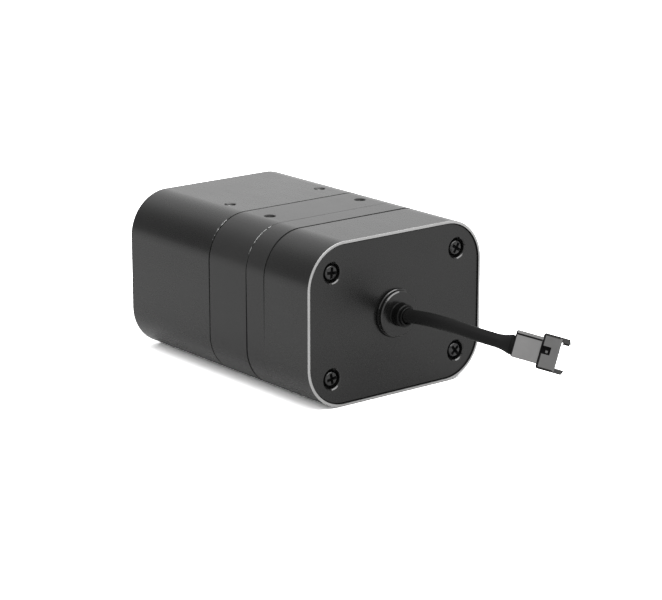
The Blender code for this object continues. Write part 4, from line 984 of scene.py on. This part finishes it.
def black_plastic(name, level, roughness, scale=3500.0, stretch=(1.0, 1.0, 1.0), gloss=0.05):
    material, wire = new_finish(name)
    tooth = grain(wire, scale, 3.0, stretch)
    cloud = grain(wire, 120.0, 3.0)
    return set_sockets(
        material,
        {
            "Base Color": blend(wire, cloud, grey(level * 0.75), grey(level * 1.25)),
            "Roughness": roughness - 0.06 + cloud * 0.12,
            "Specular IOR Level": gloss,
            "Normal": bump(wire, tooth, 0.00001, 0.45),
        },
    )


screw_finish = black_steel("blackened_screw")
# Near black used as painted shade: in screw recesses, under the gland's flange, in the plug's latch window
# and at the flare's end.
shade_black_finish = black_plastic("painted_shade_black", 0.006, 0.60)
gland_finish = black_plastic("gland_plastic", 0.003, 0.36, gloss=0.1)
sheath_finish = black_plastic("cable_skin", 0.010, 0.48, 2200.0, (1.0, 0.15, 1.0))
rubber_finish = black_plastic("seal_rubber", 0.012, 0.70)
print("black finishes made")

# %% [markdown]
# ## Plug and window
# The plug is a grey moulding whose head, edges and prongs look darker than its flat body. The window is
# a dark tinted sheet with a polished face. True refraction would be slow and noisy for so thin a sheet,
# so a constant Alpha lets part of the inside show through.

# %% Plug plastic and smoked window
def plug_plastic(name, level, gloss=0.5):
    material, wire = new_finish(name)
    tooth = grain(wire, 4200.0, 2.0)
    cloud = grain(wire, 260.0, 4.0)
    return set_sockets(
        material,
        {
            "Base Color": blend(wire, cloud, grey(level * 0.85, 0.01), grey(level * 1.15, 0.01)),
            "Roughness": 0.36 + cloud * 0.14,
            "Specular IOR Level": gloss,
            "Normal": bump(wire, tooth, 0.000008, 0.4),
        },
    )


def smoked(name):
    material, wire = new_finish(name)
    haze = grain(wire, 90.0, 3.0)
    return set_sockets(
        material,
        {
            "Base Color": blend(wire, haze, (0.010, 0.005, 0.008, 1.0), (0.016, 0.008, 0.012, 1.0)),
            "Roughness": 0.04 + haze * 0.05,
            "Alpha": 0.62,
            "Coat Weight": 0.3,
        },
    )


plug_finish = plug_plastic("plug_nylon", 0.150)
head_finish = plug_plastic("plug_head_nylon", 0.083)
# Painted shade for the plug's rounded edges, the groove beside the rail and the inner side of a prong.
edge_shade_finish = plug_plastic("plug_painted_edge_shade", 0.012, 0.1)
prong_finish = plug_plastic("plug_prongs", 0.018)
window_finish = smoked("smoked_window")
print("plug and window finishes made")

# %% [markdown]
# ## Metals inside
# Little of the inside shows, and only through the window, but each solid gets the finish of its real
# material so that it looks right when the housing is opened. The metals share fine lines from turning
# or grinding, and the mirror's coating is the smoothest of them.

# %% Inner metals and mirror
def bare_metal(name, level, roughness, metallic=1.0):
    material, wire = new_finish(name)
    lines = grain(wire, 1800.0, 2.0, (1.0, 1.0, 8.0))
    cloud = grain(wire, 200.0, 3.0)
    return set_sockets(
        material,
        {
            "Base Color": blend(wire, cloud, grey(level * 0.9, 0.006), grey(level * 1.05, 0.006)),
            "Metallic": metallic,
            "Roughness": roughness - 0.05 + lines * 0.1,
            "Normal": bump(wire, lines, 0.000005, 0.3),
        },
    )


aluminium_finish = bare_metal("bare_aluminium", 0.70, 0.35)
steel_finish = bare_metal("bright_steel", 0.60, 0.24)
mirror_finish = bare_metal("mirror_coating", 0.90, 0.07)
core_finish = bare_metal("laminated_core", 0.27, 0.45, 0.9)
tin_finish = bare_metal("tinned_contact", 0.72, 0.28)
optics_finish = black_steel("optics_black")
chip_finish = black_plastic("moulded_black", 0.018, 0.5)
print("inner metals made")

# %% [markdown]
# ## Boards and lenses
# A circuit board is green laminate with paler tracks and tinned pads. Tracks could be drawn one by one,
# but at this size bands and cells of noise read as well. The lenses have a purple coating that shows
# as a second, clear gloss.

# %% Boards and lenses
def board(name):
    material, wire = new_finish(name)
    place = wire.node("ShaderNodeTexCoord", output="Object")
    bands = {"wave_type": "BANDS", "bands_direction": "DIAGONAL"}
    spacing = {"Vector": place, "Scale": 260.0, "Distortion": 3.0}
    wave = wire.node("ShaderNodeTexWave", bands, spacing, "Fac")
    spots = {"Vector": place, "Scale": 420.0}
    cells = wire.node("ShaderNodeTexVoronoi", {"feature": "F1"}, spots, "Distance")
    track = wave > 0.62
    pads = cells < 0.22
    ground = blend(wire, track, (0.014, 0.085, 0.040, 1.0), (0.030, 0.150, 0.070, 1.0))
    return set_sockets(
        material,
        {
            "Base Color": blend(wire, pads, ground, (0.62, 0.60, 0.52, 1.0)),
            "Metallic": pads * 0.9,
            "Roughness": 0.42 - pads * 0.12,
            "Normal": bump(wire, track + pads, 0.00003, 0.4),
        },
    )


def lens(name):
    material, wire = new_finish(name)
    haze = grain(wire, 300.0, 2.0)
    return set_sockets(
        material,
        {
            "Base Color": blend(wire, haze, (0.10, 0.07, 0.16, 1.0), (0.16, 0.12, 0.24, 1.0)),
            "Roughness": 0.04 + haze * 0.03,
            "Coat Weight": 0.6,
        },
    )


board_finish = board("board_laminate")
lens_finish = lens("coated_lens")
print("boards and lenses made")

# %% [markdown]
# ## Putting pieces and finishes together
# Every new piece stands for its solid and moves with the body that carries it. A table of piece,
# solid, finish and slot is easier to check than a row of calls. The angle given to the shading decides
# which edges stay sharp: it is small for the plate and the gland, whose chamfers have to stay crisp.

# %% Dress the new pieces
dressed = [
    (front_shell, "front_shell", housing_finish, "housing", 60.0),
    (middle_shell, "middle_shell", middle_finish, "housing", 60.0),
    (spacer_ring, "spacer_ring", middle_finish, "housing", 60.0),
    (rear_shell, "rear_shell", rear_finish, "housing", 60.0),
    (rear_plate, "rear_plate", plate_finish, "rear_plate", 30.0),
    (gland, "cable_gland", gland_finish, "moulded_black", 30.0),
    (cable, "cable", sheath_finish, "sheath", None),
    (flare, "cable_collar", sheath_finish, "sheath", 60.0),
    (plug, "connector_housing", plug_finish, "plug_grey", 60.0),
    (window, "front_window", window_finish, "window", 60.0),
]
for index, screw in enumerate(screws, 1):
    dressed.append((screw, f"stack_screw_{index}", screw_finish, "blackened_steel", 40.0))


def dress(made, node, material, slot, sharp):
    if sharp:
        shade(made, sharp)
    made.data.materials.clear()
    made.data.materials.append(material)
    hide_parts(node)
    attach(made, "module")


for row in dressed:
    dress(*row)
print("dressed:", len(dressed), "pieces")

# %% [markdown]
# ## The bare rim and painted glints
# The rim is bare metal, the corners of two seams get a painted glint and the threads of the front holes
# a painted highlight, and all of them belong to pieces with another finish. They could be cut off as
# pieces of their own, but a second material slot on the same mesh is simpler: a test on a face's place
# and direction picks the faces that get it.

# %% Bare faces: the rear rim, and painted glints on two seam corners and the front holes
# Angles round the upper corners at which each seam's edge gets the painted glint.
FRONT_GLINT, MIDDLE_GLINT = (28, 60), (22, 72)
HOLE_REACH = 1.8


def second_finish(made, finish, chosen):
    """Gives the faces that pass a test another finish, and counts them."""
    made.data.materials.append(finish)
    faces = [face for face in made.data.polygons if chosen(face)]
    for face in faces:
        face.material_index = len(made.data.materials) - 1
    return len(faces)


def slanted(part):
    """Whether a face leans, from the part of its direction along one axis."""
    return 0.25 < part < 0.95


def on_rim(face):
    """The rim's rear face and the slope outside it, but not the edge towards the plate."""
    inward = face.normal.x * face.center.x + face.normal.z * (face.center.z - MID_Z) < -2.0 * MM
    return face.normal.y < -0.35 and face.center.y < BACK + 1.1 * RIM * MM and not inward


def on_seam_corner(node, low, high):
    """The rear edge of a section, between two angles round its upper corners."""
    start = ends(node)[0]

    def chosen(face):
        across = abs(face.center.x) - (BODY_WIDTH / 2 - CORNER_RADIUS)
        up = face.center.z - MID_Z - (BODY_HEIGHT / 2 - CORNER_RADIUS)
        turn = math.degrees(math.atan2(up, across))
        edge = slanted(-face.normal.y) and face.center.y < (start + 3 * EDGE) * MM
        outside = math.hypot(across, up) > CORNER_RADIUS - 0.5 * MM
        return edge and across > 0 and low < turn < high and outside

    return chosen


def front_hole_highlight(face):
    """The side of the thread towards the front right, which faces the rear left and gets a painted
    highlight.
    """
    across = abs(face.center.x) / MM - HOLE_SPREAD
    along = face.center.y / MM - HOLE_ROWS["front"]
    leaning = face.normal.x * 0.63 + face.normal.y * 0.78 < -0.5
    return leaning and math.hypot(across, along) < HOLE_REACH and slanted(face.normal.z)


counts = {
    "rim": second_finish(rear_shell, rim_finish, on_rim),
    "front seam": second_finish(front_shell, glint_finish, on_seam_corner("front_shell", *FRONT_GLINT)),
    "middle seam": second_finish(middle_shell, glint_finish, on_seam_corner("middle_shell", *MIDDLE_GLINT)),
    "front holes": second_finish(front_shell, thread_highlight_finish, front_hole_highlight),
}
print("bare faces:", counts)

# %% [markdown]
# ## Second finishes of the gland and the screws
# The gland's flange is metal and its chamfer is polished, while the collar is plastic. The washer under
# the flange, all but the upper part of its chamfer, and a screw's recess and the steep side of its head
# get painted shade in near black. These pieces are turned about their own Z, so a face's distance from
# that axis tells which part it is on.

# %% Gland, screws and counterbores
FLANGE_START, FOOT_START = 3.3, 6.4
SEAT_REACH = 3.3
HEAD_SIDE, RECESS_REACH, RECESS_DEPTH = 2.03, 1.65, 0.5


def from_axis(face):
    """The distance of a face from its piece's own axis, in millimetres."""
    return math.hypot(face.center.x, face.center.y) / MM


def on_flange(face):
    return from_axis(face) > FLANGE_START


def on_foot(face):
    return from_axis(face) > FOOT_START


def on_flange_edge(face):
    """The chamfer of the flange all round, and that of its foot along the upper part."""
    shown = not on_foot(face) or face.center.y / MM > 0.35 * from_axis(face)
    return on_flange(face) and shown and slanted(face.normal.z)


def on_chamfer(face):
    """The slanted edge of a counterbore in the plate."""
    near_screw = False
    for side, level in CORNERS:
        place = Vector(screw_place(side, level, 0.0))
        off = math.hypot(face.center.x - place.x, face.center.z - place.z)
        near_screw = near_screw or off < SEAT_REACH * MM
    return near_screw and slanted(-face.normal.y)


def in_shade(face):
    """The recess and the steep rim of a screw head, which get painted shade."""
    radius = from_axis(face)
    sunk = face.normal.z < 0.6 or face.center.z < -RECESS_DEPTH * MM
    return radius > HEAD_SIDE or (radius < RECESS_REACH and sunk)


counts = {
    "flange": second_finish(gland, flange_finish, on_flange),
    # The washer under the flange gets painted shade, all but the upper part of its chamfer.
    "foot": second_finish(gland, shade_black_finish, on_foot),
    "flange edge": second_finish(gland, chamfer_finish, on_flange_edge),
    "counterbores": second_finish(rear_plate, chamfer_finish, on_chamfer),
    "screw heads": [second_finish(screw, shade_black_finish, in_shade) for screw in screws],
}
print("second finishes:", counts)

# %% [markdown]
# ## Second finishes of the plug
# The plug's head is a darker grey than its body and its prongs are nearly black. Painted shade darkens
# its rounded edges, the groove beside the rail, the inner side of a prong, the latch window and the
# flare's end against the plug. A rounded edge is a face whose direction is along none of the plug's own
# three axes. Later finishes cover earlier ones.

# %% Plug and flare
HEAD_START, PRONG_START, FLARE_END = 6.99, 12.05, -0.9
FLAT_ENOUGH = 0.985
FAR = 20.0
UNSHADED_SIDE = ((-FAR, -3.0), (-FAR, FAR), (-FAR, 6.9))
OPEN_END = ((-4.3, 4.3), (-FAR, FAR), (11.3, 12.1))
GROOVE, GROOVE_FLOOR = ((2.35, 2.9), (2.0, FAR), (-FAR, 7.0)), 2.3
LUG_SIDE = ((2.9, 3.44), (-FAR, FAR), (12.1, FAR))
LATCH, LATCH_FLOOR = ((-0.7, 1.5), (1.8, FAR), (6.9, 9.85)), 2.7


def within(place, zone):
    """Whether a point in millimetres lies in a zone, given as a range on each axis."""
    return all(low < value < high for value, (low, high) in zip(place, zone))


def on_plug_head(face):
    return face.center.z > HEAD_START * MM


def on_prong(face):
    return face.center.z > PRONG_START * MM


def on_plug_edge_shade(face):
    """Rounded edges, the groove beside the rail and the inner side of a prong, which get painted shade."""
    rounded = max(abs(part) for part in face.normal) < FLAT_ENOUGH
    place = face.center / MM
    groove = within(place, GROOVE) and (place.y < GROOVE_FLOOR or rounded)
    plain = within(place, UNSHADED_SIDE) or within(place, OPEN_END)
    return groove or within(place, LUG_SIDE) or (rounded and not plain)


# The latch window gets painted shade.
def in_latch(face):
    place = face.center / MM
    return within(place, LATCH) and (place.y < LATCH_FLOOR or face.normal.y < 0.9)


# The flare's end against the plug gets painted shade.
def at_flare_end(face):
    return face.center.z > FLARE_END * MM


counts = {
    "head": second_finish(plug, head_finish, on_plug_head),
    "prongs": second_finish(plug, prong_finish, on_prong),
    "edges": second_finish(plug, edge_shade_finish, on_plug_edge_shade),
    "latch": second_finish(plug, shade_black_finish, in_latch),
    "flare end": second_finish(flare, shade_black_finish, at_flare_end),
}
print("second finishes:", counts)

# %% [markdown]
# ## Solids inside
# The pieces inside have the right shape already, so they stay as they are and only get a finish. The
# model's solids are never moved or reshaped, and a material in their slot is all that changes.

# %% Dress the solids inside
INSIDE = {
    "front_seal middle_seal rear_seal plate_seal window_gasket": rubber_finish,
    "optics_frame motor_base rotor_cup capacitor": aluminium_finish,
    "standoff_1 standoff_2 standoff_3 standoff_4": aluminium_finish,
    "gland_nut bearing_lower bearing_upper mirror_shaft mirror_clamp": steel_finish,
    "laser_diode photodetector": steel_finish,
    "board_screw_1 board_screw_2 board_screw_3 board_screw_4": steel_finish,
    "motor_stator rotor_magnet": core_finish,
    "encoder_disc optics_block": optics_finish,
    "polygon_mirror": mirror_finish,
    "encoder_sensor processor cable_header inductor": chip_finish,
    "main_board power_board transceiver_board": board_finish,
    "emitter_lens receiver_lens": lens_finish,
    "inner_lead": sheath_finish,
    "contact_1 contact_2": tin_finish,
}
for names, material in INSIDE.items():
    for name in names.split():
        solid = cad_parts[name]
        solid.data.materials.clear()
        solid.data.materials.append(material)
print("solids inside:", sum(len(names.split()) for names in INSIDE))

# %% [markdown]
# ## What the cable is
# A cable is the one soft piece of this module. Its length along the curve is printed here.

print("cable declared:", round(cable_length, 4), "m")

# %% [markdown]
# ## Floor
# The photograph has a white studio round the module, and a narrow soft shadow under it. A floor that is
# really white would throw too much light up at the sides. So the floor is pale for the light it throws
# back, and paler where the camera, gloss or glass looks at it, and it keeps the shadow either way.

# %% Floor
FLOOR_SIZE = 3.0
FLOOR_DROP = 0.00005
FLOOR_PALE, FLOOR_IN_GLOSS, FLOOR_IN_VIEW = 0.8, 0.1, 1.5


def ray(wire, kind):
    """1 for one kind of ray, such as those that come straight from the camera."""
    return wire.node("ShaderNodeLightPath", output=f"Is {kind} Ray")


def make_floor(name):
    builder = bmesh.new()
    bmesh.ops.create_grid(builder, x_segments=1, y_segments=1, size=FLOOR_SIZE)
    floor = to_object(name, builder)
    floor.location = (0.0, 0.0, LOW.z - FLOOR_DROP)
    material, wire = new_finish(name)
    mirrored = ray(wire, "Glossy") + ray(wire, "Transmission")
    shown = mirrored * FLOOR_IN_GLOSS + ray(wire, "Camera") * FLOOR_IN_VIEW
    pale = wire.node("ShaderNodeBsdfDiffuse", inputs={"Color": shown + FLOOR_PALE})
    out = material.node_tree.nodes["Material Output"]
    material.node_tree.links.new(pale.socket, out.inputs["Surface"])
    floor.data.materials.append(material)
    return floor


floor = make_floor("studio_floor")
print("floor at", round(floor.location.z, 5))

# %% [markdown]
# ## Surroundings
# Dark metal shows its surroundings more than its own colour. The studio is white all round, which the
# top face mirrors at a flat angle. In a studio, a dark screen on the front left side draws the dark
# stripe along a rounded corner, and this world has one: a soft patch that only gloss sees, so that it
# takes no light from the module.

# %% Surroundings
SCREEN_SIDE = (-0.75, 0.60, 0.25)
SCREEN = {"From Min": 0.58, "From Max": 0.99, "To Min": -0.2, "To Max": 0.66}


def make_world(name):
    world = bpy.data.worlds.new(name)
    world.use_nodes = True
    bpy.context.scene.world = world
    wire = Wire(world.node_tree)
    direction = wire.node("ShaderNodeTexCoord", output="Generated")
    dot = {"operation": "DOT_PRODUCT"}
    toward = wire.node("ShaderNodeVectorMath", dot, {0: direction, 1: SCREEN_SIDE}, "Value")
    smooth = {"interpolation_type": "SMOOTHSTEP"}
    screen = wire.node("ShaderNodeMapRange", smooth, {"Value": toward, **SCREEN})
    background = world.node_tree.nodes["Background"]
    world.node_tree.links.new((1 - screen * ray(wire, "Glossy")).socket, background.inputs["Color"])
    background.inputs["Strength"].default_value = 1.0
    return world


world = make_world("studio")
print("surroundings:", world.name)

# %% [markdown]
# ## Light
# White surroundings alone give no direction. One long strip softbox behind and above the module, on the
# camera's side, lights the rear rim and the chamfers and sets the shadow. A sun would give hard edges,
# and an area lamp of this length keeps them soft.

# %% Lamp
STRIP_PLACE, STRIP_TARGET = Vector((0.08, -0.45, 0.74)), Vector((0.0, 0.0, 0.02))
STRIP_SIZE, STRIP_POWER = (1.05, 0.2), 5.5


def soft_lamp(name, place, target, size, power):
    data = bpy.data.lights.new(name, "AREA")
    data.shape = "RECTANGLE"
    data.size, data.size_y = size
    data.energy = power
    lamp = add_object(name, data)
    lamp.location = place
    lamp.rotation_euler = (target - place).to_track_quat("-Z", "Y").to_euler()
    return lamp


strip = soft_lamp("strip_softbox", STRIP_PLACE, STRIP_TARGET, STRIP_SIZE, STRIP_POWER)
print("lamp:", strip.name)

# %% [markdown]
# ## The end
# Colours are shown as they are written, with no film look.

# %% Colours as written, and the end
bpy.context.scene.view_settings.view_transform = "Standard"
